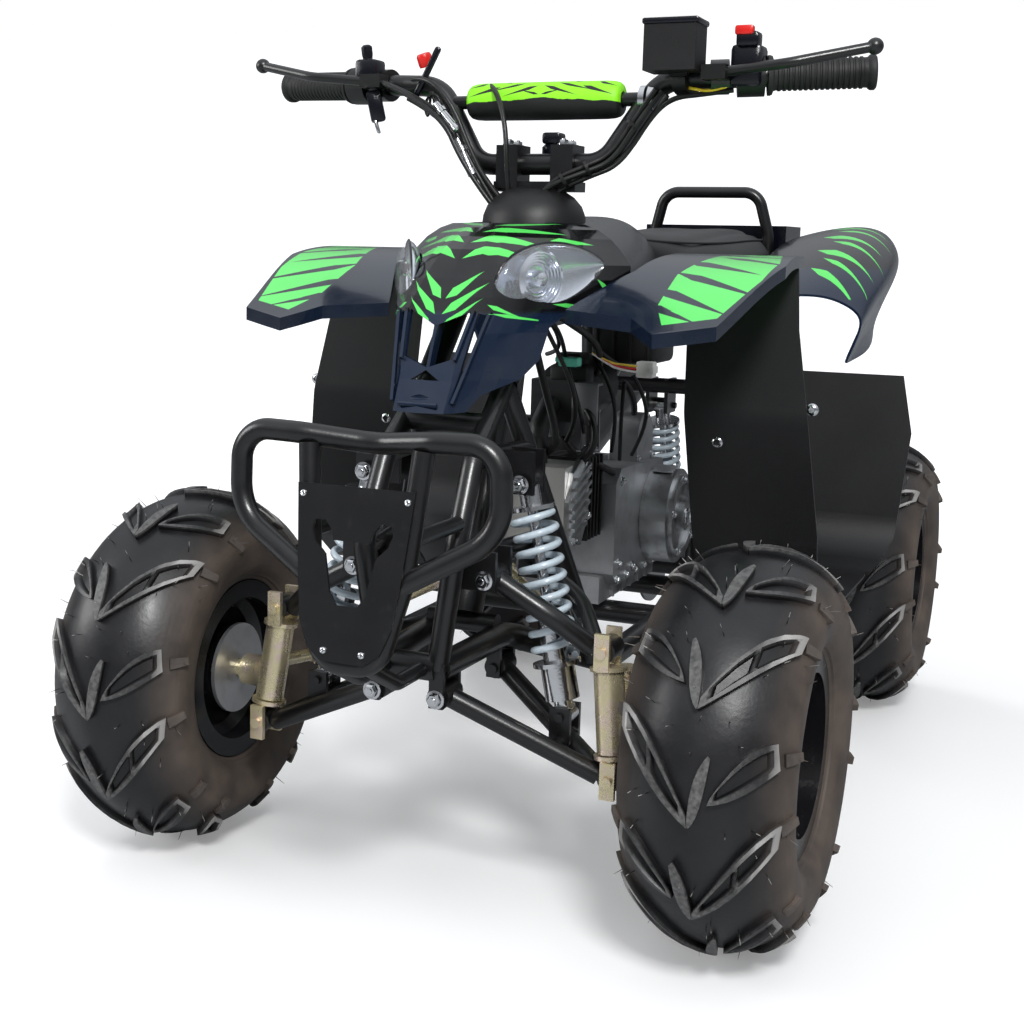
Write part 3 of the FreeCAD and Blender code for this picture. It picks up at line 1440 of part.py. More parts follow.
BAR_MIDDLE = front(0, 208, 703)
GRIP_START = front(228, 228, 789)
GRIP_END = front(327, 258, 793)


def steering_column():
    """Stem, pitman plate and handlebar clamp."""
    top = along_stem(676)
    plate = along_stem(680)
    pieces = [
        rod("stem", S.stem_radius, along_stem(266), top),
        block("pitman", (44, 78, 6), PITMAN + STEM_BACK * 24, Rotation(UP, STEM)),
        block("clamp_plate", (90, 32, 10), Vector(0, BAR_MIDDLE.y, plate.z)),
    ]
    for word, side in SIDES:
        pieces.append(block("clamp_" + word, (24, 36, 44), Vector(side * 30, BAR_MIDDLE.y, 700)))
        ball = Vector(TIE_START.x * side, TIE_START.y, TIE_START.z)
        pieces.append(rod("pitman_pin_" + word, 3.5, ball - STEM * 18, ball + STEM * 12))
        pieces.append(rod("pitman_nut_" + word, 7, ball + STEM * 10, ball + STEM * 14))
    reach = Vector(50, 0, 0)
    space = rod("clamp_bore", S.bar_tube + S.seat_gap, BAR_MIDDLE - reach, BAR_MIDDLE + reach)
    node("steering_column", cut("steering_bored", fuse("steering_welded", pieces), space))


def handlebar():
    """The bent bar and its cross tube."""
    half = [
        front(70, 208, 703),
        front(122, 224, 786),
        GRIP_START - (GRIP_END - GRIP_START) * 0.6,
        GRIP_END - (GRIP_END - GRIP_START).normalize() * 4,
    ]
    points = [mirrored(point) for point in reversed(half)] + half
    bar = pipe("bar", points, S.bar_tube, 32)
    cross_end = front(106, 219, 768)
    cross = rod("cross_bar", 7, mirrored(cross_end), cross_end)
    node("handlebar", fuse("handlebar_welded", [bar, cross]))
    pad_end = Vector(84, cross_end.y, cross_end.z)
    pad = rod("pad_round", 19, mirrored(pad_end), pad_end)
    bore = rod("pad_bore", 7 + float(S.seat_gap), mirrored(cross_end), cross_end)
    node("bar_pad", cut("bar_pad_bored", pad, bore))


def grips():
    """Two rubber grips."""
    way = (GRIP_END - GRIP_START).normalize()
    outer = rod("grip_outer", S.grip_radius, GRIP_START, GRIP_END)
    flange = rod("grip_flange", S.grip_radius + 4, GRIP_START, GRIP_START + way * 5)
    whole = fuse("grip_whole", [outer, flange])
    bore = rod("grip_bore", S.bar_tube + S.seat_gap, GRIP_START - way * 5, GRIP_END - way * 3)
    left = cut("grip_left", whole, bore)
    node("grips", pair("grip_pair", [left, mirror("grip_right", left)]))


def controls():
    """Levers, reservoir, switches and cables."""
    way = (GRIP_END - GRIP_START).normalize()
    perch = GRIP_START - way * 46
    lever_end = GRIP_END + Vector(6, -52, 18)
    lever = pipe("lever", [perch + Vector(10, -26, 2), GRIP_START + Vector(30, -48, 6), lever_end], 5, 40)
    clamp = rod("lever_clamp", 17, perch - way * 9, perch + way * 9)
    arm = block("lever_arm", (24, 30, 14), perch + Vector(2, -20, 2))
    ball = doc.addObject("Part::Sphere", "lever_ball")
    ball.Radius = 8
    ball.Placement = Placement(lever_end, Rotation())
    whole = fuse("lever_whole", [lever, clamp, arm, ball])
    bore = rod("lever_bore", S.bar_tube + S.seat_gap, perch - way * 20, perch + way * 20)
    left = cut("lever_left", whole, bore)
    node("hand_levers", pair("lever_pair", [left, mirror("lever_right", left)]))
    bar_point = front(150, 215.6, 786.3)
    bar_way = (front(168.6, 210, 786.6) - front(122, 224, 786)).normalize()
    box = block("reservoir_box", (52, 40, 44), front(146, 184, 812))
    ring = rod("reservoir_ring", S.bar_tube + 5, bar_point - bar_way * 8, bar_point + bar_way * 8)
    arm = block("reservoir_arm", (18, 14, 14), front(148, 199, 794))
    space = rod("reservoir_space", S.bar_tube + S.seat_gap, bar_point - bar_way * 30, bar_point + bar_way * 30)
    node("brake_reservoir", cut("reservoir_bored", fuse("reservoir_whole", [box, ring, arm]), space))
    switch_place = GRIP_START - way * 16
    housing = rod("switch_round", 20, switch_place - way * 13, switch_place + way * 13)
    hole = rod("switch_bore", S.bar_tube + S.seat_gap, switch_place - way * 20, switch_place + way * 20)
    switch = cut("switch_left", housing, hole)
    node("control_switches", pair("switch_pair", [switch, mirror("switch_right", switch)]))
    cables = []
    for index, shift in enumerate((0, 4.9)):
        points = [
            front(-172.8, 194 - 2 * shift, 787),
            front(-96 - shift, 176 - shift, 760),
            front(-62, 172 - shift, 700 - shift),
            front(-36 + shift / 2, 178 - shift, 660),
        ]
        cables.append(pipe("cable_%d" % index, points, S.cable, 30))
    node("control_cables", pair("cable_group", cables))


def tie_rods():
    """The two rods from the pitman plate to the knuckles."""
    for word, side in SIDES:
        bar = rod("tie_bar_" + word, S.tie_rod, TIE_START, TIE_END)
        inner = rod("tie_ball_" + word, 9, TIE_START - STEM * 5, TIE_START + STEM * 5)
        outer = rod("tie_end_" + word, 12, TIE_END - Vector(0, 0, 4), TIE_END + Vector(0, 0, 4))
        whole = fuse("tie_whole_" + word, [bar, inner, outer])
        clear = fuse("tie_clear_" + word, [
            rod("tie_hole_a_" + word, 4, TIE_START - STEM * 20, TIE_START + STEM * 20),
            rod("tie_hole_b_" + word, 7.5, TIE_END - Vector(0, 0, 20), TIE_END + Vector(0, 0, 20)),
        ])
        solid = cut("tie_cut_" + word, whole, clear)
        if side < 0:
            solid = mirror("tie_mirror_" + word, solid)
        node("tie_rod_" + word, solid)


def check_and_write():
    """Stops on a failed object or a bad solid, then writes one file for each piece."""
    doc.recompute()
    for item in doc.Objects:
        state = [word for word in item.State if word in ("Invalid", "Error")]
        if state:
            raise RuntimeError("%s is %s" % (item.Name, state))
    os.makedirs("parts", exist_ok=True)
    for item in nodes:
        shape = item.Shape
        if shape.isNull() or not shape.isValid() or not shape.Solids:
            raise RuntimeError("%s has no valid solid" % item.Label)
    for item in nodes:
        item.Shape.exportStep("parts/%s.step" % item.Label)
        box = item.Shape.BoundBox
        print("%-18s %2d solids %9.0f mm3  x %5.0f %5.0f  y %5.0f %5.0f  z %4.0f %4.0f" % (
            item.Label, len(item.Shape.Solids), item.Shape.Volume,
            box.XMin, box.XMax, box.YMin, box.YMax, box.ZMin, box.ZMax))


for side_word, side_sign in SIDES:
    front_wheel(side_word, side_sign)
    knuckle(side_word, side_sign)
rear_wheels()
rear_axle()
kingpin_brackets()
suspension_arms()
shock_absorbers()
frame()
bumper()
nose_cowl()
headlamps()
front_fenders()
mudguards()
tank_cover()
seat()
rear_fender()
grab_bar()
rear_rack()
engine()
exhaust()
footrests()
swingarm()
chain()
steering_column()
handlebar()
grips()
controls()
tie_rods()
check_and_write()
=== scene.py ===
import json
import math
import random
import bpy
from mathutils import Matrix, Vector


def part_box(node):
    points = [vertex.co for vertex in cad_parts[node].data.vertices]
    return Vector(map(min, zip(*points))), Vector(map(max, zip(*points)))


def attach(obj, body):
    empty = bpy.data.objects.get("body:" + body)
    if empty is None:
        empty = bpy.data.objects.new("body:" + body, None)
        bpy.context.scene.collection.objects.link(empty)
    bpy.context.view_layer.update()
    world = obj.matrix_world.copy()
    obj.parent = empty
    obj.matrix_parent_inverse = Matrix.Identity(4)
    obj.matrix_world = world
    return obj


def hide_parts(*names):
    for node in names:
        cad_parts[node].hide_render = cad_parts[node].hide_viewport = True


bl_info = {
    "name": "Quad Bike Dresser",
    "version": (1, 0, 0),
    "blender": (4, 5, 0),
    "location": "View3D > Sidebar > Quad Bike",
    "description": "Dresses the packed quad bike with finishes, fittings and a studio",
    "category": "Object",
}

import bmesh
import bpy
from bpy.props import FloatProperty, FloatVectorProperty, IntProperty, PointerProperty
from bpy.types import Operator, Panel, PropertyGroup
from mathutils import Matrix, Vector

# The quad faces -Y, its left side is +X, and the floor is at Z 0. Blender's own values are in
# metres. The sizes of small forms, the routes and what front() takes are in millimetres.

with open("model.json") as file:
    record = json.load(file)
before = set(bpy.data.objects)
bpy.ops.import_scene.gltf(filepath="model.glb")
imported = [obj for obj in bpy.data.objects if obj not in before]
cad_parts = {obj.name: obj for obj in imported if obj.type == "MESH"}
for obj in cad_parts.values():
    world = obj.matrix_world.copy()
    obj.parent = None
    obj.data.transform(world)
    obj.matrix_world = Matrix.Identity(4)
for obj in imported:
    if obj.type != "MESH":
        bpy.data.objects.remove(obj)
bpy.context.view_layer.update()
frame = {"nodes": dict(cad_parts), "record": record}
SLOTS = {row["node"]: row["material_slot"] for row in frame["record"]["subparts"]}
SIDES = (1, -1)
UP = Vector((0, 0, 1))
LEFT = Vector((1, 0, 0))
AHEAD = Vector((0, -1, 0))

# Wheels and tread, in millimetres

WHEELBASE = 850
HALF_TRACK_FRONT = 290
HALF_TRACK_REAR = 265
TYRE_RADIUS = 183
LUG_HEIGHT = 7
BASE_RADIUS = TYRE_RADIUS - LUG_HEIGHT
HALF_TREAD = 60
TREAD_DROP = 24
CROWN_ARC = (HALF_TREAD ** 2 + TREAD_DROP ** 2) / (2 * TREAD_DROP)
TREAD_ROUND = 2 * math.pi * BASE_RADIUS
STATIONS = 12
HOLLOW_DEPTH = 5.6
ROOT_DEPTH = 3
TYRE_STEPS = 96
NUT_CIRCLE = 31
FRONT_DISH = 10
REAR_DISH = 14
DISC_WALL = 1.6
HUB_REACH = 11.8
PAD_CENTRE = (0, 219, 768)

# Each lug is its start, middle and end, and each of those is a place (across, along) on both edges.

LONG_LUG = (((62, 58), (64, 80)), ((33, 17), (37, 53)), ((0, -14), (1, -5)))
CENTRE_LUG = (((-14, 42), (-12, 44)), ((-9, 4), (-3, 22)), ((-1, -14), (0, -12)))
SHORT_LUG = (((14, 0), (16, 6)), ((38, 10), (38, 40)), ((61, 33), (58, 56)))
SHOULDER_LUG = (((66, 4), (65, 16)), ((71, 7), (70, 18)), ((76, 12), (75, 21)))
WHEELS = (
    ("front_tyre_left", "front_wheel_left", HALF_TRACK_FRONT, 0),
    ("front_tyre_right", "front_wheel_right", -HALF_TRACK_FRONT, 0),
    ("rear_tyres", "rear_wheels", HALF_TRACK_REAR, WHEELBASE),
    ("rear_tyres", "rear_wheels", -HALF_TRACK_REAR, WHEELBASE),
)

# Metres

FRONT_Y = -0.405
AXLE_Z = TYRE_RADIUS / 1000


def front(x, y, z):
    """A place in metres from millimetres, with y counted from the front axle."""
    return Vector((x / 1000, FRONT_Y + y / 1000, z / 1000))


# Shader nodes


class Value:
    """A shader socket that takes part in Python sums."""

    def __init__(self, shade, socket):
        self.shade = shade
        self.socket = socket

    def sum(self, operation, *others):
        """One Math node on this value and others."""
        values = dict(enumerate((self,) + others))
        return self.shade.node("ShaderNodeMath", {"operation": operation}, values)[0]

    def __add__(self, other):
        return self.sum("ADD", other)

    def __sub__(self, other):
        return self.sum("SUBTRACT", other)

    def __rsub__(self, other):
        return self.shade.node("ShaderNodeMath", {"operation": "SUBTRACT"}, {0: other, 1: self})[0]

    def __mul__(self, other):
        return self.sum("MULTIPLY", other)

    def __truediv__(self, other):
        return self.sum("DIVIDE", other)

    def __gt__(self, other):
        return self.sum("GREATER_THAN", other)

    def __abs__(self):
        return self.sum("ABSOLUTE")

    __radd__ = __add__
    __rmul__ = __mul__

    def least(self, other):
        return self.sum("MINIMUM", other)

    def most(self, other):
        return self.sum("MAXIMUM", other)

    def sine(self):
        return self.sum("SINE")

    def root(self):
        return self.sum("SQRT")

    def ramp(self, low, high):
        """0 below low, 1 above high and straight between."""
        sockets = {0: self, 1: low, 2: high, 3: 0.0, 4: 1.0}
        return self.shade.node("ShaderNodeMapRange", {"clamp": True}, sockets)[0]


class Shade:
    """The node tree of one finish, or of the world."""

    def __init__(self, name, owners="materials"):
        self.owner = getattr(bpy.data, owners).new(name)
        self.owner.use_nodes = True
        self.tree = self.owner.node_tree
        self.tree.nodes.clear()
        self.places = self.node("ShaderNodeTexCoord")
        self.place = self.places["Object"]

    def node(self, kind, settings=None, values=None):
        """Adds a node, sets it up, feeds its sockets and gives its outputs."""
        item = self.tree.nodes.new(kind)
        for name, value in (settings or {}).items():
            setattr(item, name, value)
        for name, value in (values or {}).items():
            self.feed(item.inputs[name], value)
        return Outputs(self, item)

    def feed(self, target, value):
        """Links a socket or sets its number or colour."""
        if isinstance(value, Value):
            self.tree.links.new(value.socket, target)
        elif target.type == "RGBA":
            target.default_value = (*value[:3], 1)
        else:
            target.default_value = value

    def mix(self, first, second, factor):
        """One colour over another."""
        values = {"Factor": factor, 6: first, 7: second}
        return self.node("ShaderNodeMix", {"data_type": "RGBA"}, values)[2]

    def tones(self, colour, low, high, factor):
        """A colour between two shares of itself."""
        return self.mix(scaled(colour, low), scaled(colour, high), factor)

    def axes(self):
        """The place's X, Y and Z."""
        split = self.node("ShaderNodeSeparateXYZ", None, {"Vector": self.place})
        return split["X"], split["Y"], split["Z"]

    def noise(self, scale, detail=2.0):
        """A cloudy value from 0 to 1."""
        values = {"Vector": self.place, "Scale": scale, "Detail": detail}
        return self.node("ShaderNodeTexNoise", None, values)["Fac"]

    def cells(self, scale):
        """How far the nearest cell's middle is."""
        values = {"Vector": self.place, "Scale": scale}
        return self.node("ShaderNodeTexVoronoi", None, values)["Distance"]

    def bump(self, height, depth, strength):
        """A normal from a height."""
        values = {"Height": height, "Distance": depth, "Strength": strength}
        return self.node("ShaderNodeBump", None, values)["Normal"]

    def finish(self, colour, roughness, metallic=0.0, normal=None, **others):
        """The principled surface and the output."""
        values = {"Base Color": colour, "Roughness": roughness, "Metallic": metallic}
        values.update({name.replace("_", " "): value for name, value in others.items()})
        if normal is not None:
            values["Normal"] = normal
        surface = self.node("ShaderNodeBsdfPrincipled", None, values)["BSDF"]
        self.node("ShaderNodeOutputMaterial", None, {"Surface": surface})
        return self.owner


class Outputs:
    """A node's output sockets by name or number."""

    def __init__(self, shade, item):
        self.shade = shade
        self.item = item

    def __getitem__(self, name):
        return Value(self.shade, self.item.outputs[name])


def scaled(colour, share):
    """A colour made darker or paler."""
    return tuple(min(1.0, part * share) for part in colour)


# Finishes


def painted_tube(name, colour, roughness=0.32):
    """Satin paint with a little orange peel and paler worn spots."""
    shade = Shade(name)
    cloud = shade.noise(26.0, 3.0)
    peel = shade.noise(520.0, 1.0)
    worn = shade.noise(90.0, 4.0).ramp(0.62, 0.78)
    tone = shade.tones(colour, 0.8, 1.35, cloud)
    tone = shade.mix(tone, scaled(colour, 2.4), worn * 0.35)
    rough = roughness - 0.06 + cloud * 0.14 + worn * 0.1
    return shade.finish(
        tone, rough, 0.0, shade.bump(peel, 0.0002, 0.5), Coat_Weight=0.25, Coat_Roughness=0.22)


def bare_metal(name, colour, roughness, grain=900.0, stain=None, metallic=1.0):
    """Metal with fine grain and slight stains."""
    shade = Shade(name)
    cloud = shade.noise(34.0, 4.0)
    fine = shade.noise(grain, 2.0)
    tone = shade.tones(colour, 0.82, 1.12, cloud)
    if stain:
        tone = shade.mix(tone, stain, shade.noise(70.0, 3.0).ramp(0.48, 0.7))
    rough = roughness - 0.05 + cloud * 0.12 + fine * 0.06
    return shade.finish(tone, rough, metallic, shade.bump(fine, 0.00012, 0.6))


def cast_metal(name, colour, roughness):
    """Sand-cast alloy with a speckled skin and grime in its clouds."""
    shade = Shade(name)
    cloud = shade.noise(16.0, 5.0)
    grit = shade.noise(700.0, 2.0)
    grime = shade.noise(42.0, 5.0).ramp(0.5, 0.8)
    tone = shade.tones(colour, 0.8, 1.1, cloud)
    tone = shade.mix(tone, scaled(colour, 0.35), grime * 0.4)
    rough = roughness + cloud * 0.12 + grime * 0.1
    return shade.finish(tone, rough, 0.85, shade.bump(grit, 0.00025, 0.7))


def dull_plastic(name, colour, roughness, grain=1400.0):
    """Moulded plastic with a fine leathery grain."""
    shade = Shade(name)
    cloud = shade.noise(12.0, 3.0)
    skin = shade.cells(grain)
    tone = shade.tones(colour, 0.75, 1.3, cloud)
    rough = roughness - 0.05 + cloud * 0.12
    return shade.finish(tone, rough, 0.0, shade.bump(skin, 0.00012, 0.6))


def plain_rubber(name, colour, roughness=0.6):
    """Black rubber with faint dust."""
    shade = Shade(name)
    dust = shade.noise(60.0, 4.0).ramp(0.45, 0.8)
    tone = shade.mix(colour, scaled(colour, 2.6), dust * 0.5)
    rough = roughness + dust * 0.15
    return shade.finish(tone, rough, 0.0, shade.bump(shade.noise(600.0, 2.0), 0.0002, 0.5))


def tyre_rubber(name, colour):
    """Tyre rubber: satin carcass, painted shade in the lug hollows, scuffed lug tops, pale hairs and a
    brown, dusty sidewall.
    """
    shade = Shade(name)
    x, y, z = shade.axes()
    behind = y > 0.02
    along = y - FRONT_Y - behind * (WHEELBASE / 1000)
    up = z - AXLE_Z
    reach = (along * along + up * up).root()
    across = abs(x) - HALF_TRACK_FRONT / 1000 + behind * ((HALF_TRACK_FRONT - HALF_TRACK_REAR) / 1000)
    arc = CROWN_ARC / 1000
    carcass = (arc * arc - across * across).root() + (BASE_RADIUS / 1000 - arc)
    over = (reach - carcass) * 1000.0
    top = over.ramp(3.6, 5.2)
    hair = over.ramp(7.6, 8.6)
    side = 1.0 - reach.ramp(0.138, 0.165)
    dust = shade.noise(28.0, 5.0).ramp(0.35, 0.75)
    fine = shade.noise(240.0, 4.0)
    tone = shade.mix(colour, scaled(colour, 2.0), dust * 0.6)
    tone = shade.mix(tone, (0.105, 0.078, 0.06), side * (0.4 + dust * 0.5))
    # Painted shade: the lugs' hollows and a low band of every lug's wall are darkened almost to black
    hollow = over.ramp(0.7, 1.1) * (1.0 - over.ramp(1.9, 2.8)) * (1.0 - side)
    tone = shade.mix(tone, (0.002, 0.002, 0.002), hollow * 0.85)
    middle = 1.0 - abs(across).ramp(0.012, 0.05)
    scuff = top * shade.noise(260.0, 6.0).ramp(0.15, 0.85) * (0.22 + middle * 0.7)
    tone = shade.mix(tone, (0.26, 0.255, 0.25), scuff * 0.6)
    tone = shade.mix(tone, (0.34, 0.33, 0.32), hair * (1.0 - side))
    rough = 0.33 + dust * 0.14 + side * 0.24 + scuff * 0.2
    height = fine + side * (reach * 1400.0).sine() * 0.15
    return shade.finish(tone, rough, 0.0, shade.bump(height, 0.0003, 0.5))


# Marked panels, in millimetres across, back from the front axle and up


def panel_axes(shade):
    """Millimetres across, back from the front axle and up."""
    x, y, z = shade.axes()
    return abs(x * 1000.0), (y - FRONT_Y) * 1000.0, z * 1000.0


def claw(across, along, start, end, width):
    """A pointed leaf mark from start to end, full near its middle."""
    reach = math.dist(start, end)
    step = ((end[0] - start[0]) / reach, (end[1] - start[1]) / reach)
    across = across - start[0]
    along = along - start[1]
    share = (across * step[0] + along * step[1]) / reach
    off = abs(across * step[1] - along * step[0])
    half = (share * 4.0).least((1.0 - share) * 1.34).least(1.0) * (width / 2)
    return (half - off).ramp(0.0, 0.4)


def claws(across, along, marks):
    """Several leaf marks in one mask."""
    mask = None
    for start, end, width in marks:
        mark = claw(across, along, start, end, width)
        mask = mark if mask is None else mask.most(mark)
    return mask


def inside(across, along, corners):
    """A mask of 1 inside a convex outline given counterclockwise."""
    mask = None
    for first, second in zip(corners, corners[1:] + corners[:1]):
        reach = math.dist(first, second)
        step = ((second[0] - first[0]) / reach, (second[1] - first[1]) / reach)
        edge = (along - first[1]) * step[0] - (across - first[0]) * step[1]
        edge = edge.ramp(0.0, 0.6)
        mask = edge if mask is None else mask * edge
    return mask


NAVY = (0.006, 0.014, 0.034)

# Each mark is its start, its end and its width.

HOOD_MARKS = (
    ((3, 4), (84, 58), 11), ((3, 24), (80, 84), 13), ((4, 48), (70, 112), 12), ((5, 74), (56, 134), 10),
    ((6, 98), (40, 146), 9), ((40, 2), (96, 52), 5), ((60, 84), (92, 124), 9))
FACE_MARKS = (
    ((2, 570), (30, 596), 9), ((3, 556), (38, 586), 8.5), ((3, 542), (37, 572), 7),
    ((4, 530), (30, 552), 5), ((40, 566), (66, 553), 4), ((44, 558), (88, 548), 3.4))
SIDE_MARKS = (
    ((40, 566), (112, 560), 4.4), ((52, 552), (124, 574), 4), ((96, 590), (132, 562), 5),
    ((70, 540), (116, 548), 3))
FENDER_FIELD = [(192, 22), (238, 40), (258, 120), (262, 176), (250, 244), (198, 236), (174, 130), (176, 60)]
FENDER_BARS = (
    ((160, 66), (226, 26), 13), ((158, 100), (250, 44), 15), ((168, 138), (276, 78), 14),
    ((166, 176), (256, 134), 17), ((196, 206), (288, 156), 12), ((180, 232), (272, 200), 16),
    ((190, 262), (270, 232), 12))
FENDER_GREENS = (
    ((190, 52), (234, 32), 4), ((200, 150), (262, 122), 5), ((188, 196), (250, 176), 5),
    ((214, 222), (262, 206), 4))
WING_MARKS = (
    ((186, 706), (262, 640), 13), ((196, 732), (272, 668), 9), ((182, 764), (268, 704), 15),
    ((196, 794), (276, 738), 10), ((176, 828), (266, 772), 15), ((190, 856), (274, 810), 10),
    ((176, 890), (262, 848), 15), ((150, 926), (250, 890), 13), ((150, 968), (236, 934), 11))
PAD_TOP_MARKS = (
    ((2, 15), (44, 3), 4), ((16, 18), (66, 7), 3), ((44, 14), (82, 3), 4.4), ((60, 18), (84, 12), 3),
    ((0, 5), (26, 11), 3))
PAD_BACK_MARKS = (((4, -6), (30, 9), 5), ((34, -8), (58, 10), 6), ((60, -4), (80, 12), 5))


def painted_panel(tone, roughness):
    """Lacquered plastic in a tone of its own."""
    shade = tone.shade
    dust = shade.noise(36.0, 4.0).ramp(0.4, 0.8)
    rough = roughness + dust * 0.06
    height = shade.noise(300.0, 2.0)
    tone = shade.mix(tone, (0.32, 0.33, 0.33), dust * 0.015)
    return shade.finish(
        tone, rough, 0.0, shade.bump(height, 0.00006, 0.5), Coat_Weight=0.35, Coat_Roughness=0.04,
        Specular_IOR_Level=0.36)


def mask_panel(name, stripe):
    """The nose mask: gloss black, green leaf marks and dark navy below."""
    shade = Shade(name)
    across, along, up = panel_axes(shade)
    black = (0.004, 0.004, 0.005)
    tone = shade.mix(NAVY, black, up.ramp(556.0, 560.0))
    hood = claws(across, along, HOOD_MARKS) * up.ramp(588.0, 589.0)
    face = claws(across, up, FACE_MARKS) * (1.0 - along.ramp(24.0, 25.0))
    side = claws(along, up, SIDE_MARKS) * along.ramp(40.0, 41.0) * (1.0 - up.ramp(588.0, 589.0))
    mask = hood.most(face).most(side)
    shine = shade.tones(stripe, 0.82, 1.1, shade.noise(14.0, 2.0))
    return painted_panel(shade.mix(tone, shine, mask), 0.1)


def fender_panel(name, stripe):
    """The front fenders: green fields cut by slanted dark bars, navy edges."""
    shade = Shade(name)
    across, along, up = panel_axes(shade)
    field = inside(across, along, FENDER_FIELD)
    bars = claws(across, along, FENDER_BARS)
    greens = claws(across, along, FENDER_GREENS)
    mask = (field * (1.0 - bars)).most(greens * field)
    mask = mask * up.ramp(440.0, 446.0)
    shine = shade.tones(stripe, 0.85, 1.12, shade.noise(9.0, 2.0))
    tone = shade.mix(NAVY, (0.005, 0.006, 0.009), shade.noise(6.0, 1.0))
    return painted_panel(shade.mix(tone, shine, mask), 0.12)


def wing_panel(name, stripe):
    """The rear fender: near black above, green slanted marks and navy flanks."""
    shade = Shade(name)
    across, along, up = panel_axes(shade)
    marks = claws(across, along, WING_MARKS) * up.ramp(560.0, 562.0)
    flank = 1.0 - up.ramp(596.0, 600.0)
    tone = shade.mix((0.007, 0.008, 0.011), NAVY, flank)
    shine = shade.tones(stripe, 0.85, 1.1, shade.noise(9.0, 2.0))
    return painted_panel(shade.mix(tone, shine, marks), 0.2)


def pad_cover(name):
    """The bar pad's cloth: lime above with dark shards, black below."""
    shade = Shade(name)
    across, along, up = panel_axes(shade)
    up = up - PAD_CENTRE[2]
    back = along - PAD_CENTRE[1]
    wave = shade.noise(60.0, 3.0) * 5.0
    lime = (up + wave + across * 0.06).ramp(4.2, 4.6)
    lime = lime * (1.0 - claws(across, up, PAD_TOP_MARKS)) * (1.0 - claws(across, back, PAD_BACK_MARKS))
    weave = shade.cells(2600.0)
    tone = shade.mix((0.008, 0.008, 0.008), (0.26, 0.82, 0.012), lime)
    rough = 0.42 + shade.noise(40.0, 3.0) * 0.12
    return shade.finish(tone, rough, 0.0, shade.bump(weave, 0.0001, 0.6))


def lamp_bowl(name):
    """Bright plating of the lamp's reflector."""
    shade = Shade(name)
    cloud = shade.noise(40.0, 3.0)
    tone = shade.mix((0.66, 0.7, 0.78), (0.84, 0.88, 0.95), cloud)
    return shade.finish(tone, 0.1 + cloud * 0.08, 1.0, shade.bump(shade.noise(400.0, 2.0), 0.0001, 0.4))


def lamp_lens(name):
    """Clear hard plastic, seen through."""
    shade = Shade(name)
    haze = shade.noise(70.0, 4.0).ramp(0.4, 0.8)
    tone = shade.mix((0.86, 0.89, 0.93), (0.95, 0.96, 0.98), haze)
    rough = 0.03 + haze * 0.03
    return shade.finish(
        tone, rough, 0.0, shade.bump(haze, 0.00004, 0.3), Coat_Weight=1.0, Coat_Roughness=0.02, Alpha=0.14)


def brushed_plate(name):
    """The bare data plate: brushed metal with dark blank rows."""
    shade = Shade(name)
    _, y, _ = shade.axes()
    streak = shade.noise(900.0, 2.0)
    rows = (y * 1400.0).sine().ramp(0.86, 0.9)
    tone = shade.mix((0.55, 0.56, 0.58), (0.7, 0.71, 0.73), streak)
    tone = shade.mix(tone, (0.08, 0.08, 0.09), rows * 0.5)
    return shade.finish(tone, 0.35 + streak * 0.1, 0.8, shade.bump(streak, 0.00008, 0.5))


def head_metal(name):
    """The cylinder head's bright casting and the darker finned barrel behind it."""
    shade = Shade(name)
    across, along, _ = panel_axes(shade)
    cloud = shade.noise(16.0, 5.0)
    barrel = along.ramp(256.0, 260.0) * (1.0 - across.ramp(47.0, 47.6))
    tone = shade.mix((0.46, 0.45, 0.43), (0.6, 0.59, 0.57), cloud)
    tone = shade.mix(tone, (0.035, 0.035, 0.036), barrel)
    height = shade.noise(700.0, 2.0)
    return shade.finish(tone, 0.36 + cloud * 0.14, 0.85, shade.bump(height, 0.00025, 0.7))


def coil_spring_paint(name, colour):
    """Pale glossy coating with dust between the coils."""
    shade = Shade(name)
    dust = shade.noise(60.0, 4.0).ramp(0.4, 0.75)
    tone = shade.mix(colour, scaled(colour, 0.55), dust * 0.6)
    height = shade.noise(420.0, 2.0)
    return shade.finish(
        tone, 0.24 + dust * 0.25, 0.0, shade.bump(height, 0.0001, 0.5), Coat_Weight=0.5, Coat_Roughness=0.1)


# Nodes that take a finish of their own instead of their slot's

OWN_FINISHES = {
    "rear_rack": "gloss_black",
    "cylinder": "head",
    "carburettor": "dark_alloy",
    "engine_covers": "magneto",
    "nose_cowl": "mask",
    "front_fenders": "fender",
    "rear_fender": "wing",
}
FINISHES = {}


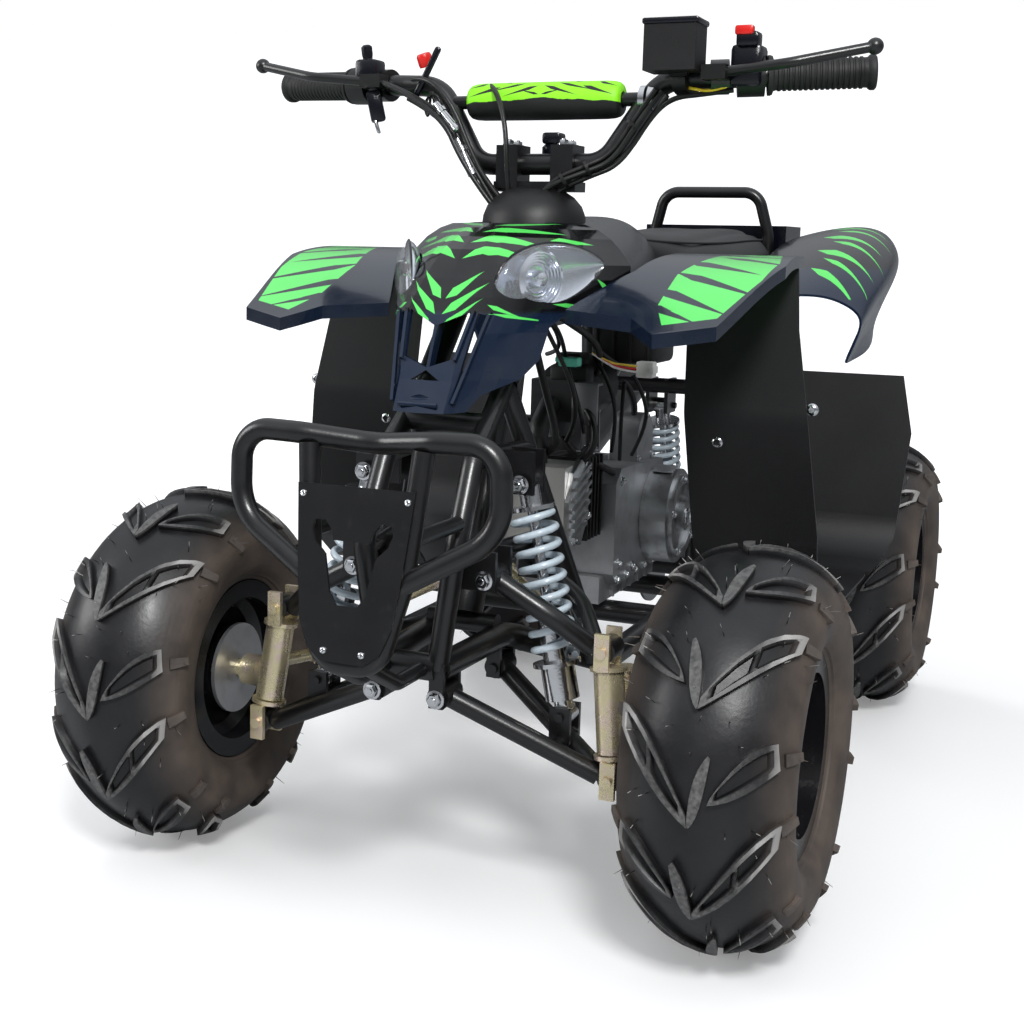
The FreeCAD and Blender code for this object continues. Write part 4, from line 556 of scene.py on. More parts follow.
def make_finishes():
    """Every finish of the quad, by a plain name."""
    colours = bpy.context.scene.quad_colours
    stripe = tuple(colours.stripe)
    FINISHES.update({
        "tyre": tyre_rubber("tyre_rubber", tuple(colours.rubber)),
        "rim": painted_tube("rim_paint", (0.005, 0.005, 0.006), 0.22),
        "frame_paint": painted_tube("frame_paint", tuple(colours.paint)),
        "zinc": bare_metal("yellow_zinc", (0.82, 0.72, 0.46), 0.24, 700.0, (0.8, 0.64, 0.56), 0.78),
        "cast_alloy": cast_metal("cast_alloy", (0.5, 0.505, 0.52), 0.33),
        "steel": bare_metal("dark_steel", (0.32, 0.32, 0.33), 0.38),
        "chrome": bare_metal("chrome", (0.75, 0.76, 0.78), 0.12, 500.0),
        "gloss_black": dull_plastic("gloss_panel", (0.003, 0.0035, 0.007), 0.12),
        "dull_black": dull_plastic("dull_panel", (0.003, 0.003, 0.0035), 0.46),
        "lamp": dull_plastic("lamp_clear", (0.7, 0.72, 0.74), 0.08),
        "vinyl": dull_plastic("seat_vinyl", (0.011, 0.011, 0.012), 0.45, 700.0),
        "exhaust_paint": painted_tube("exhaust_paint", (0.015, 0.015, 0.015), 0.5),
        "foam": dull_plastic("pad_cover", stripe, 0.5, 900.0),
        "grip": plain_rubber("grip_rubber", (0.008, 0.008, 0.008)),
        "lever": painted_tube("lever_paint", (0.006, 0.006, 0.006), 0.34),
        "cable": plain_rubber("cable_sleeve", (0.005, 0.005, 0.005), 0.36),
        "mask": mask_panel("mask_lacquer", stripe),
        "fender": fender_panel("fender_lacquer", stripe),
        "wing": wing_panel("wing_lacquer", stripe),
        "pad": pad_cover("pad_cloth"),
        "bowl": lamp_bowl("lamp_plating"),
        "lens": lamp_lens("lamp_lens"),
        "spring": coil_spring_paint("spring_coating", (0.5, 0.58, 0.64)),
        "magneto": bare_metal("magneto_alloy", (0.62, 0.63, 0.64), 0.3, 500.0, (0.4, 0.4, 0.4)),
        "head": head_metal("head_alloy"),
        "dark_alloy": cast_metal("dark_alloy", (0.07, 0.07, 0.072), 0.42),
        "bare_plate": brushed_plate("bare_plate"),
        "red_plastic": dull_plastic("red_plastic", (0.62, 0.012, 0.008), 0.3, 900.0),
        "white_plastic": dull_plastic("white_plastic", (0.75, 0.75, 0.72), 0.35, 900.0),
        "green_plastic": dull_plastic("green_plastic", (0.1, 0.5, 0.36), 0.4, 900.0),
        "red_wire": plain_rubber("red_wire", (0.5, 0.012, 0.01), 0.4),
        "yellow_wire": plain_rubber("yellow_wire", (0.7, 0.5, 0.02), 0.4),
        "white_wire": plain_rubber("white_wire", (0.62, 0.62, 0.6), 0.4),
    })


# Mesh building


def place_along(point, axis):
    """A place whose Z points along an axis."""
    turn = Vector(axis).to_track_quat("Z", "Y").to_matrix().to_4x4()
    return Matrix.Translation(point) @ turn


def joined(form, part, place=None):
    """Adds a small form to a larger one at its place."""
    if place is not None:
        bmesh.ops.transform(part, matrix=place, verts=part.verts)
        if place.to_3x3().determinant() < 0:
            bmesh.ops.reverse_faces(part, faces=part.faces)
    mesh = bpy.data.meshes.new("part")
    part.to_mesh(mesh)
    part.free()
    form.from_mesh(mesh)
    bpy.data.meshes.remove(mesh)


def put(form, part, spot, axis=None):
    """Adds a small form at a spot in millimetres, with its Z along an axis if one is given."""
    point = front(*spot)
    joined(form, part, Matrix.Translation(point) if axis is None else place_along(point, axis))


def lathe(profile, steps):
    """A turned form from (radius, height) corners, in millimetres."""
    form = bmesh.new()
    row = [form.verts.new((radius / 1000, 0, height / 1000)) for radius, height in profile]
    edges = [form.edges.new(pair) for pair in zip(row, row[1:])]
    bmesh.ops.spin(
        form, geom=row + edges, cent=(0, 0, 0), axis=UP, angle=2 * math.pi, steps=steps, use_merge=True)
    bmesh.ops.remove_doubles(form, verts=form.verts, dist=1e-6)
    bmesh.ops.recalc_face_normals(form, faces=form.faces)
    return form


def rounded_box(size, radius):
    """A block with rounded edges, in millimetres."""
    form = bmesh.new()
    bmesh.ops.create_cube(form, size=1.0)
    bmesh.ops.scale(form, vec=Vector(size) / 1000, verts=form.verts)
    bmesh.ops.bevel(
        form, geom=list(form.edges), offset=radius / 1000, segments=3 if radius > 5 else 2, profile=0.5,
        affect="EDGES", material=-1)
    return form


def hex_head(radius, height):
    """A hexagon bolt head with its flange and stud, in millimetres."""
    edge = radius * 1.35
    form = lathe(((0, 0), (edge, 0), (edge, 1.2), (radius, 1.6)), 20)
    hexagon = ((radius, 1.2), (radius, height * 0.82), (radius * 0.84, height), (0, height))
    stud = ((radius * 0.5, height - 0.2), (radius * 0.45, height + 1.2), (0, height + 1.5))
    joined(form, lathe(hexagon, 6))
    joined(form, lathe(stud, 12))
    return form


def dome_screw(radius, height):
    """A button-headed screw with a hexagon socket, in millimetres."""
    socket = radius * 0.5
    dome = ((radius * 0.97, height * 0.4), (radius * 0.75, height * 0.85), (socket, height))
    form = lathe(((0, 0), (radius, 0)) + dome, 20)
    joined(form, lathe(((socket, height), (radius * 0.42, height * 0.3), (0, height * 0.3)), 6))
    return form


def piece(name, form, finish, body, angle=38):
    """Makes a bmesh a finished piece that rides on a body."""
    mesh = bpy.data.meshes.new(name)
    form.to_mesh(mesh)
    form.free()
    for face in mesh.polygons:
        face.use_smooth = True
    mesh.set_sharp_from_angle(angle=math.radians(angle))
    return finished(name, mesh, finish, body)


def finished(name, data, finish, body):
    """An object for mesh or curve data with its finish, body and slot."""
    data.materials.clear()
    data.materials.append(FINISHES[finish])
    item = bpy.data.objects.new(name, data)
    bpy.context.scene.collection.objects.link(item)
    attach(item, body)
    return item


def lines(name, routes, radius, finish, body):
    """Round cables, wires or hoses on smooth curves along their routes, in millimetres."""
    curve = bpy.data.curves.new(name, "CURVE")
    curve.dimensions = "3D"
    curve.bevel_depth = radius / 1000
    curve.bevel_resolution = 3
    curve.resolution_u = 8
    curve.use_fill_caps = True
    for route in routes:
        line = curve.splines.new("NURBS")
        line.points.add(len(route) - 1)
        for point, spot in zip(line.points, route):
            point.co = (*front(*spot), 1)
        line.order_u = 3
        line.use_endpoint_u = True
    return finished(name, curve, finish, body)


# Tyres, made in millimetres about the origin and made metres last


def crown(across):
    """Radius of the carcass at a place across the tread."""
    return BASE_RADIUS - CROWN_ARC + math.sqrt(CROWN_ARC ** 2 - across ** 2)


def on_crown(across, along, out):
    """A place on the tread: across it, along it and out from it."""
    lean = across / CROWN_ARC
    radius = crown(across) + out * math.sqrt(1 - lean * lean)
    turn = along / BASE_RADIUS
    return Vector((across + out * lean, -radius * math.cos(turn), radius * math.sin(turn)))


def through_three(first, middle, last, share):
    """A curve through three places."""
    return (
        first * (2 * (share - 0.5) * (share - 1))
        + middle * (-4 * share * (share - 1))
        + last * (2 * share * (share - 0.5)))


def lug(form, pairs, side, start, height, windows):
    """One leaf-shaped rubber block, with one long hollow or two short ones in its top, or none."""
    along_shares = (0, 0, 0.07, 0.13, 0.3, 0.45, 0.5, 0.55, 0.7, 0.87, 0.93, 1, 1)
    across_shares = (0, 0, 0.17, 0.28, 0.72, 0.83, 1, 1)
    block = bmesh.new()
    bmesh.ops.create_grid(
        block, x_segments=len(along_shares) - 1, y_segments=len(across_shares) - 1, size=1)
    first = [Vector(pair[0]) for pair in pairs]
    second = [Vector(pair[1]) for pair in pairs]
    for corner in block.verts:
        column = round((corner.co.x + 1) / 2 * (len(along_shares) - 1))
        row = round((corner.co.y + 1) / 2 * (len(across_shares) - 1))
        share = along_shares[column]
        one = through_three(*first, share)
        two = through_three(*second, share)
        spot = one.lerp(two, across_shares[row])
        out = height
        bridge = windows == 2 and column == 6
        if windows and 3 <= column <= 9 and not bridge and 3 <= row <= 4:
            out = height - HOLLOW_DEPTH
        if column in (0, len(along_shares) - 1) or row in (0, len(across_shares) - 1):
            out = -ROOT_DEPTH
        corner.co = on_crown(spot.x * side, start + spot.y, out)
    bmesh.ops.recalc_face_normals(block, faces=block.faces)
    outward = sum((face.normal for face in block.faces), Vector())
    if outward.dot(block.verts[:][0].co) < 0:
        bmesh.ops.reverse_faces(block, faces=block.faces)
    joined(form, block)


def tyre_form():
    """A balloon tyre about the origin, with its tread, rings and moulding hairs."""
    half = [
        (55.7, 77), (55.7, 91.5), (58.5, 92.6), (60.5, 95.4), (62.6, 96.2), (65.4, 100), (67.4, 101.4),
        (71, 109), (73.4, 119), (73.8, 128), (72.8, 136)]
    half += [(across, crown(across)) for across in (69, 64, 58, 51, 43, 34, 24, 12)]
    profile = half + [(0, crown(0))] + [(-across, radius) for across, radius in reversed(half)]
    form = lathe([(radius, across) for across, radius in profile], TYRE_STEPS)
    bmesh.ops.rotate(form, verts=form.verts, cent=(0, 0, 0), matrix=Matrix.Rotation(math.pi / 2, 3, "Y"))
    bmesh.ops.scale(form, vec=(1000, 1000, 1000), verts=form.verts)
    station = TREAD_ROUND / STATIONS
    for index in range(STATIONS):
        side = 1 if index % 2 else -1
        start = index * station
        lug(form, LONG_LUG, side, start, LUG_HEIGHT, 2)
        lug(form, CENTRE_LUG, side, start, LUG_HEIGHT, 0)
        lug(form, SHORT_LUG, -side, start + 6, LUG_HEIGHT - 1, 1)
        lug(form, SHOULDER_LUG, side, start + 62, 3.4, 0)
        lug(form, SHOULDER_LUG, -side, start + 38, 3.0, 0)
    draw = random.Random(7)
    for _ in range(bpy.context.scene.quad_sizes.hairs):
        across = draw.uniform(-76, 76)
        along = draw.uniform(0, TREAD_ROUND)
        foot = on_crown(across, along, 0)
        tip = on_crown(across + draw.uniform(-3, 3), along + draw.uniform(-3, 3), draw.uniform(9, 13))
        hair = bmesh.new()
        bmesh.ops.create_cone(hair, segments=3, radius1=0.5, radius2=0.25, depth=(tip - foot).length)
        joined(form, hair, place_along((foot + tip) / 2, tip - foot))
    bmesh.ops.scale(form, vec=(0.001, 0.001, 0.001), verts=form.verts)
    return form


def make_tyres():
    """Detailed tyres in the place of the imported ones."""
    forms = {}
    for node, body, x, y in WHEELS:
        form = forms.setdefault(node, (bmesh.new(), body))[0]
        put(form, tyre_form(), (x, y, TYRE_RADIUS))
    for node, (form, body) in forms.items():
        item = piece(node + "_tread", form, "tyre", body, 32)
        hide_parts(node)


def make_wheel_parts():
    """Wheel nuts, hub nuts and valves."""
    for _, body, x, y in WHEELS:
        side = 1 if x > 0 else -1
        dish = FRONT_DISH if y == 0 else REAR_DISH
        words = ("front" if y == 0 else "rear", "left" if x > 0 else "right")
        face = x + (DISC_WALL - dish) * side
        out = LEFT * side
        steel = bmesh.new()
        for index in range(4):
            turn = math.radians(45 + 90 * index)
            spot = (face, y + NUT_CIRCLE * math.cos(turn), TYRE_RADIUS + NUT_CIRCLE * math.sin(turn))
            put(steel, hex_head(7, 8), spot, out)
        hub_nut = ((0, 12), (7, 12), (11, 10), (13, 3), (13, 0))
        put(steel, lathe(hub_nut, 6), (face + HUB_REACH * side, y, TYRE_RADIUS), out)
        piece("%s_wheel_nuts_%s" % words, steel, "chrome", body)
        valve = bmesh.new()
        stem = lathe(((0, 24), (2.2, 24), (2.6, 18), (2.6, 4), (4, 3), (4, 0)), 12)
        put(valve, stem, (face, y + 50, TYRE_RADIUS + 20), out)
        piece("%s_valve_%s" % words, valve, "grip", body)


# Lamps

LAMP_INNER = (42, -6, 578)
LAMP_TIP = (107, 112, 603)
LAMP_DEPTH = 0.44
RIM_LENGTH = 137.5
RIM_WIDTH = 1.5
RING_PROFILE = (
    (27, 9), (26, 7.6), (24.5, 8.2), (23.5, 6.2), (22, 6.8), (21, 4.6), (19.5, 5.2), (18.5, 3.2),
    (16.5, 3.8), (15.5, 1.8), (13.5, 2.2), (12.5, 0.4), (9, 0), (8, 7), (6.4, 10.4), (3, 12), (0, 12.4))

# The rings' middle in metres along the lamp, up it and out of it

RING_SPOT = (0.058, 0.0, -0.011)


def lamp_place(side):
    """The lamp's own axes: along it, up it and out of it."""
    inner = front(*LAMP_INNER)
    way = (front(*LAMP_TIP) - inner).normalized()
    out = way.cross(UP).normalized()
    top = out.cross(way)
    place = Matrix((way, top, out)).transposed().to_4x4()
    place.translation = inner
    if side < 0:
        place = Matrix.Diagonal((-1, 1, 1, 1)) @ place
    return place


def egg_radius(share):
    """Half the lamp's height at a share of its length, blunt at first and drawn out to its tip."""
    share = min(1.0, max(0.0, share))
    return 77.7 * share ** 0.5 * (1 - share) ** 0.75


def egg(grow, depth, outer):
    """Half of the almond body: its outer face or its bowl."""
    length = (front(*LAMP_TIP) - front(*LAMP_INNER)).length * 1000
    form = bmesh.new()
    bmesh.ops.create_grid(form, x_segments=40, y_segments=20, size=1)
    for corner in form.verts:
        share = (corner.co.x + 1) / 2
        share = 0.5 - 0.5 * math.cos(math.pi * share)
        radius = (egg_radius(share) + (grow if 0.02 < share < 0.99 else 0)) / 1000
        turn = corner.co.y * math.pi / 2
        height = math.cos(turn) * radius * depth
        corner.co = Vector((share * length / 1000, math.sin(turn) * radius, height if outer else -height))
    bmesh.ops.remove_doubles(form, verts=form.verts, dist=1e-5)
    bmesh.ops.recalc_face_normals(form, faces=form.faces)
    return form


def in_rim_hole(face):
    """Whether a face of the rim lies inside its opening."""
    return all(
        abs(corner.co.y) < (egg_radius(corner.co.x * 1000 / RIM_LENGTH) - RIM_WIDTH) / 1000
        for corner in face.verts)


def make_lamps():
    """Clear lenses over ringed bowls with a gloss rim."""
    lens = bmesh.new()
    bowl = bmesh.new()
    rings = bmesh.new()
    rim = bmesh.new()
    spot = Matrix.Translation(RING_SPOT)
    for side in SIDES:
        place = lamp_place(side)
        joined(lens, egg(-0.6, LAMP_DEPTH, True), place)
        joined(bowl, egg(-1.0, LAMP_DEPTH * 0.9, False), place)
        joined(rings, lathe(RING_PROFILE, 48), place @ spot)
        edge = egg(1.1, 0.16, True)
        bmesh.ops.solidify(edge, geom=edge.faces[:], thickness=0.001)
        hole = [face for face in edge.faces if in_rim_hole(face)]
        bmesh.ops.delete(edge, geom=hole, context="FACES")
        joined(rim, edge, place)
    item = piece("lamp_bowls", bowl, "bowl", "chassis", 60)
    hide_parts("headlamps")
    piece("lamp_rings", rings, "bowl", "chassis", 30)
    piece("lamp_rims", rim, "gloss_black", "chassis", 50)
    piece("lamp_lenses", lens, "lens", "chassis", 60)


# Soft pieces


def make_seat():
    """The crowned seat cushion with a shallow groove along each side, and its piping."""
    copy = bpy.data.objects.new("seat_form", frame["nodes"]["seat"].data.copy())
    bpy.context.scene.collection.objects.link(copy)
    weld = copy.modifiers.new("weld", "WELD")
    weld.merge_threshold = 0.0002
    remesh = copy.modifiers.new("remesh", "REMESH")
    remesh.mode = "VOXEL"
    remesh.voxel_size = 0.005
    soften = copy.modifiers.new("soften", "SMOOTH")
    soften.factor = 0.5
    soften.iterations = 14
    shown = copy.evaluated_get(bpy.context.evaluated_depsgraph_get())
    mesh = bpy.data.meshes.new_from_object(shown)
    bpy.data.objects.remove(copy)
    low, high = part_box("seat")
    crown_rise = bpy.context.scene.quad_sizes.seat_crown
    groove_depth = 0.004
    groove_place = 0.62
    groove_width = 0.06
    for corner in mesh.vertices:
        rise = (corner.co.z - low.z) / (high.z - low.z)
        across = abs(corner.co.x) / high.x
        if rise > 0.35:
            groove = math.exp(-((across - groove_place) / groove_width) ** 2)
            corner.co.z += crown_rise * rise * max(0.0, 1 - across ** 2)
            corner.co.z -= groove_depth * groove * rise
    for face in mesh.polygons:
        face.use_smooth = True
    mesh.name = "seat_cushion"
    item = finished("seat_cushion", mesh, "vinyl", "chassis")
    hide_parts("seat")
    edge = ((-410, 40, 629), (-340, 60, 626), (-200, 84, 627), (-60, 90, 633), (18, 84, 633))
    routes = [[(half * side, WHEELBASE + y, top) for y, half, top in edge] for side in SIDES]
    lines("seat_piping", routes, 1.8, "vinyl", "chassis")


def make_bar_pad():
    """The foam pad round the cross tube, with seamed ends."""
    profile = [(8.5, -84), (15, -83.4), (17.2, -81), (18.6, -76), (19.2, -68), (19.4, -30), (19.5, 0)]
    profile += [(radius, -along) for radius, along in reversed(profile[:-1])]
    profile += [(8.5, 60), (8.5, -60), (8.5, -84)]
    form = lathe(profile, 48)
    long_edges = [edge for edge in form.edges if edge.calc_length() > 0.02]
    bmesh.ops.subdivide_edges(form, edges=long_edges, cuts=3)
    place = place_along(front(*PAD_CENTRE), LEFT)
    bmesh.ops.transform(form, matrix=place, verts=form.verts)
    item = piece("bar_pad_cover", form, "pad", "steering", 60)
    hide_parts("bar_pad")


# Steering fittings

GRIP_START = (228, 228, 789)
GRIP_END = (327, 258, 793)


def make_grips():
    """Ribbed rubber grips with their flanges."""
    profile = [(11.4, 0), (19.4, 0), (19.5, 2), (18.6, 4.4), (15.2, 5.6)]
    for index in range(16):
        start = 9 + 5.2 * index
        profile += [(14.4, start), (15.5, start + 0.9), (15.5, start + 3.2), (14.4, start + 4.1)]
    profile += [(14.6, 95), (16, 96), (17.2, 98), (17.2, 101.5), (15.5, 103.2), (0, 103.4), (0, 101)]
    profile += [(11.4, 100.6), (11.4, 0)]
    form = bmesh.new()
    for side in SIDES:
        start, end = (front(x * side, y, z) for x, y, z in (GRIP_START, GRIP_END))
        joined(form, lathe(profile, 36), place_along(start, end - start))
    item = piece("grip_rubbers", form, "grip", "steering")
    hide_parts("grips")


CABLE_ROUTES = (
    ((-172.8, 194, 787), (-96, 176, 760), (-62, 172, 700), (-36, 178, 660)),
    ((-172.8, 184.2, 787), (-100.9, 171.1, 760), (-66.9, 167.1, 695.1), (-33.55, 173.1, 655.1)),
)


def make_cables():
    """The two brake cables from the lever down into the console."""
    first = None
    for index, route in enumerate(CABLE_ROUTES):
        item = lines("brake_cable_%d" % (1 + index), [route], 2.6, "cable", "steering")
        points = [front(*point) for point in route]
        length = sum((after - before).length for before, after in zip(points, points[1:]))
        length * 0.97
        first = first or item
    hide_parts("control_cables")


CONTROL_WIRES = (
    ((-150, 200, 772), (-118, 204, 756), (-84, 196, 722), (-56, 192, 690), (-40, 192, 670), (-30, 194, 662)),
    ((-140, 206, 770), (-108, 208, 748), (-80, 200, 704), (-58, 194, 684), (-34, 196, 662)),
    ((-112, 204, 778), (-92, 202, 748), (-70, 190, 712), (-52, 184, 682), (-34, 186, 662)),
    ((-140, 190, 790), (-118, 178, 792), (-86, 172, 764), (-64, 172, 716), (-46, 176, 682), (-28, 182, 662)),
    ((-60, 214, 784), (-44, 190, 778), (-26, 174, 742), (-22, 170, 700), (-22, 180, 662)),
    ((122, 205, 776), (104, 206, 752), (80, 200, 712), (56, 190, 700), (20, 180, 684), (8, 180, 664)),
    ((128, 208, 774), (108, 202, 748), (84, 196, 706), (58, 186, 694), (22, 174, 680), (2, 178, 664)),
    ((134, 206, 770), (112, 212, 744), (88, 204, 702), (60, 192, 690), (30, 184, 676), (14, 186, 662)),
    ((200, 208, 774), (170, 204, 770), (140, 206, 768), (118, 210, 752), (92, 206, 708), (62, 196, 694),
        (36, 190, 680), (20, 190, 662)),
)

# Each tie and each adjuster is where it sits and a place that it points to.

TIES = (
    ((100, 204, 742), (94, 203, 733)), ((58, 190, 698), (52, 188, 695)), ((36, 185, 686), (30, 184, 682)))
ADJUSTERS = (((-108, 181, 764), (-88, 175, 745)), ((-79, 172.6, 727), (-61, 172, 692)))
ADJUSTER_PROFILE = (
    (0, 0), (3.4, 0), (3.6, 2), (3.6, 8), (5, 9), (5, 14), (3.8, 15), (3.8, 34), (5, 35), (5, 41), (3, 43),
    (0, 43))


def put_between(form, part, start, end):
    """Adds a small form at a start, with its Z towards an end, both in millimetres."""
    put(form, part, start, front(*end) - front(*start))


def make_housings():
    """Reservoir cap, switch blocks, knob, strut and key switch."""
    dark = bmesh.new()
    put(dark, rounded_box((56, 44, 6), 2), (146, 184, 836.6))
    put(dark, rounded_box((30, 34, 40), 5), (212, 216, 797))
    put(dark, rounded_box((22, 20, 14), 3), (214, 204, 821))
    put(dark, rounded_box((26, 26, 26), 4), (-196, 201, 800))
    knob = lathe(((0, 0), (5, 0), (6, 5), (6, 13), (4, 15), (0, 15)), 20)
    put(dark, knob, (-200, 203, 814), (-0.15, 0, 1))
    put(dark, rounded_box((7, 7, 62), 3), (-127, 196, 796), (0.5, 0.05, 1))
    put(dark, rounded_box((20, 22, 12), 3), (4, 236, 731))
    key_barrel = lathe(((0, -4), (11, -4), (12, 0), (12, 16), (9, 19), (0, 19)), 28)
    put(dark, key_barrel, (4, 236, 706))
    put(dark, rounded_box((12, 16, 34), 3), (-186, 196, 764), (-0.2, -0.1, 1))
    piece("control_housings", dark, "gloss_black", "steering")


def make_kill_switches():
    """The red cap of the lanyard switch and the red rocker."""
    red = bmesh.new()
    cap = lathe(((0, 0), (7.5, 0), (8, 3), (8, 11), (6.8, 13.5), (0, 13.5)), 24)
    put(red, cap, (-134, 212, 806), (-0.2, -0.35, 1))
    put(red, rounded_box((18, 10, 9), 2), (211, 197, 829))
    piece("kill_switches", red, "red_plastic", "steering")


def make_bar_fittings():
    """Clamp bolts, cap screws, key ring, cable adjusters and pad bands."""
    bright = bmesh.new()
    for x in (-30, 30):
        for y in (196, 220):
            put(bright, hex_head(5, 5), (x, y, 722))
    for x in (126, 166):
        put(bright, dome_screw(3.4, 2.2), (x, 184, 839.5))
    key_ring = lathe(((0, 0), (13.5, 0), (14, 1), (14, 5), (13, 6), (0, 6)), 28)
    put(bright, key_ring, (4, 236, 696))
    put(bright, rounded_box((11, 3, 14), 1), (-182, 192, 742), (-0.3, -0.1, 1))
    for start, end in ADJUSTERS:
        put_between(bright, lathe(ADJUSTER_PROFILE, 18), start, end)
    for x in (106, 115):
        band = lathe(((12, -3), (13.4, -3), (13.4, 3), (12, 3), (12, -3)), 24)
        put(bright, band, (x, *PAD_CENTRE[1:]), LEFT)
    piece("bright_fittings", bright, "chrome", "steering")


def make_wiring():
    """The lanyard's loop, the bar's wires and their ties."""
    turns = [2 * math.pi * index / 12 for index in range(11, 0, -1)]
    loop = [(-118 + 9 * math.sin(turn), 195, 762 - 13 * math.cos(turn)) for turn in turns]
    route = [(-121, 196, 778)] + loop + [(-119, 196, 778)]
    lines("lanyard_loop", [route], 1.5, "cable", "steering")
    lines("control_wiring", CONTROL_WIRES, 2.7, "cable", "steering")
    ties = bmesh.new()
    for start, end in TIES:
        band = lathe(((8.5, -1.6), (9.4, -1.6), (9.4, 1.6), (8.5, 1.6), (8.5, -1.6)), 20)
        put_between(ties, band, start, end)
    piece("cable_ties", ties, "cable", "steering")
    route = ((196, 206, 778), (178, 202, 772), (160, 204, 776), (150, 210, 778))
    lines("switch_wires", [route], 1.6, "yellow_wire", "steering")


CONSOLE_PROFILE = (
    (13, 677), (18, 679), (30, 676), (41, 669), (49, 660), (53, 650), (54, 640), (51, 640), (46, 655),
    (38, 665), (28, 671), (16, 674), (13, 677))
STEM_Y = 196
CONSOLE_BEND_Y = FRONT_Y + 0.17
CONSOLE_SLOPE = 0.1


def make_console():
    """The moulded console that takes the stem and the cables, lower towards the front."""
    form = lathe(CONSOLE_PROFILE, 40)
    bmesh.ops.translate(form, verts=form.verts, vec=front(0, STEM_Y, 0))
    for corner in form.verts:
        if corner.co.y < CONSOLE_BEND_Y:
            corner.co.z -= (CONSOLE_BEND_Y - corner.co.y) * CONSOLE_SLOPE
    piece("stem_console", form, "dull_black", "chassis", 50)


# Engine and frame fittings

ENGINE_HOSES = (
    ((0, 300, 412), (14, 296, 388), (46, 300, 380), (52, 318, 372), (52, 340, 366)),
    ((24, 276, 452), (44, 262, 446), (58, 250, 420), (54, 246, 398), (40, 244, 388)),
    ((10, 400, 462), (30, 420, 470), (44, 432, 440), (40, 442, 424)),
    ((-10, 250, 388), (20, 226, 402), (34, 190, 430), (30, 160, 480), (24, 140, 530)),
    ((30, 330, 480), (44, 300, 496), (50, 260, 520), (44, 200, 540), (30, 150, 560)),
)
ENGINE_LOOMS = (
    ((66, 322, 486), (50, 300, 498), (40, 270, 520), (30, 230, 548)),
    ((20, 250, 500), (24, 232, 520), (20, 200, 545), (10, 160, 560)),
    ((60, 336, 470), (54, 350, 440), (50, 360, 410), (44, 380, 376)),
    ((24, 244, 494), (36, 236, 470), (44, 240, 440), (40, 262, 420)),
    ((-20, 300, 500), (6, 262, 506), (20, 232, 522), (20, 190, 548), (14, 150, 572)),
    ((36, 300, 500), (60, 292, 470), (64, 300, 430), (50, 330, 392)),
    ((70, 336, 478), (84, 350, 450), (72, 380, 410), (52, 400, 380)),
    ((12, 200, 540), (30, 214, 500), (42, 226, 462), (36, 244, 430), (20, 262, 410)),
)
COLOURED_WIRES = (("red_wire", 0), ("yellow_wire", 3.2), ("white_wire", -3.0))
COVER_CENTRE = (470, 301)
COVER_CIRCLE = 45
COVER_TURNS = (20, 95, 170, 245, 320)

# Each box is its name, finish, slot and blocks, and each block is its size, edge radius and middle.

BOXES = (
    ("loom_connector", "white_plastic", "cable", (
        ((20, 16, 18), 2, (86, 332, 486)), ((6, 18, 8), 1, (94, 332, 486)))),
    ("green_connector", "green_plastic", "cable", (
        ((22, 16, 10), 2, (27, 246, 497)), ((8, 8, 5), 1, (15, 246, 499)))),
    ("ignition_box", "dull_black", "dull_black", (
        ((44, 26, 40), 4, (14, 290, 470)), ((30, 30, 16), 3, (14, 290, 496)))),
    ("battery_tray", "dull_black", "dull_black", (
        ((76, 84, 66), 8, (50, 396, 522)),
        ((3, 88, 58), 1, (20, 396, 521)), ((3, 88, 58), 1, (40, 396, 521)),
        ((3, 88, 58), 1, (60, 396, 521)), ((3, 88, 58), 1, (80, 396, 521)))),
    ("coil_bracket", "steel", "steel", (
        ((30, 3, 44), 1, (40, 262, 450)), ((30, 16, 3), 1, (40, 270, 472)))),
)


def make_engine_bolts():
    """Bolts on the engine's covers and the plug on its cylinder."""
    bright = bmesh.new()
    y, z = COVER_CENTRE
    for turn in COVER_TURNS:
        angle = math.radians(turn)
        spot = (98, y + COVER_CIRCLE * math.cos(angle), z + COVER_CIRCLE * math.sin(angle))
        put(bright, hex_head(3.6, 3.6), spot, LEFT)
    put(bright, hex_head(8, 7), (102, y, z), LEFT)
    for y, z in ((425, 372), (478, 372), (452, 421)):
        put(bright, hex_head(3.6, 3.6), (52, y, z), LEFT)
    for y, z in ((215, 309), (250, 384), (256, 330)):
        put(bright, hex_head(4.4, 4.6), (48.3, y, z), LEFT)
    for index in range(6):
        for side in SIDES:
            put(bright, hex_head(4, 4), (60 * side, 336 + 34 * index, 244), LEFT * side)
    for y, z in ((340, 262), (340, 358), (392, 250)):
        put(bright, hex_head(4.4, 4.6), (60, y, z), LEFT)
    plug = lathe(((0, 0), (8, 0), (8, 12), (6, 14), (6, 22), (0, 22)), 20)
    put(bright, plug, (30, 322, 392), (0, -1, 0.1))
    piece("engine_bolts", bright, "chrome", "chassis")


def make_engine_plate():
    """The blank data plate on the engine."""
    plate = bmesh.new()
    put(plate, rounded_box((24, 28, 1.2), 0.5), (76, 461, 357.9), (0, -0.17, 1))
    piece("engine_plate", plate, "bare_plate", "chassis")


def make_engine_lines():
    """Hoses, looms and coloured wires round the engine."""
    hose_radius = bpy.context.scene.quad_sizes.hose * 1000 / 2
    lines("engine_hoses", ENGINE_HOSES, hose_radius, "cable", "chassis")
    lines("wiring_loom", ENGINE_LOOMS, 2.4, "cable", "chassis")
    for word, shift in COLOURED_WIRES:
        route = ((78, 326, 486 + shift), (64, 318, 488 + shift), (54, 300, 492 + shift / 2), (40, 280, 505))
        lines("loom_" + word, [route], 1.3, word, "chassis")


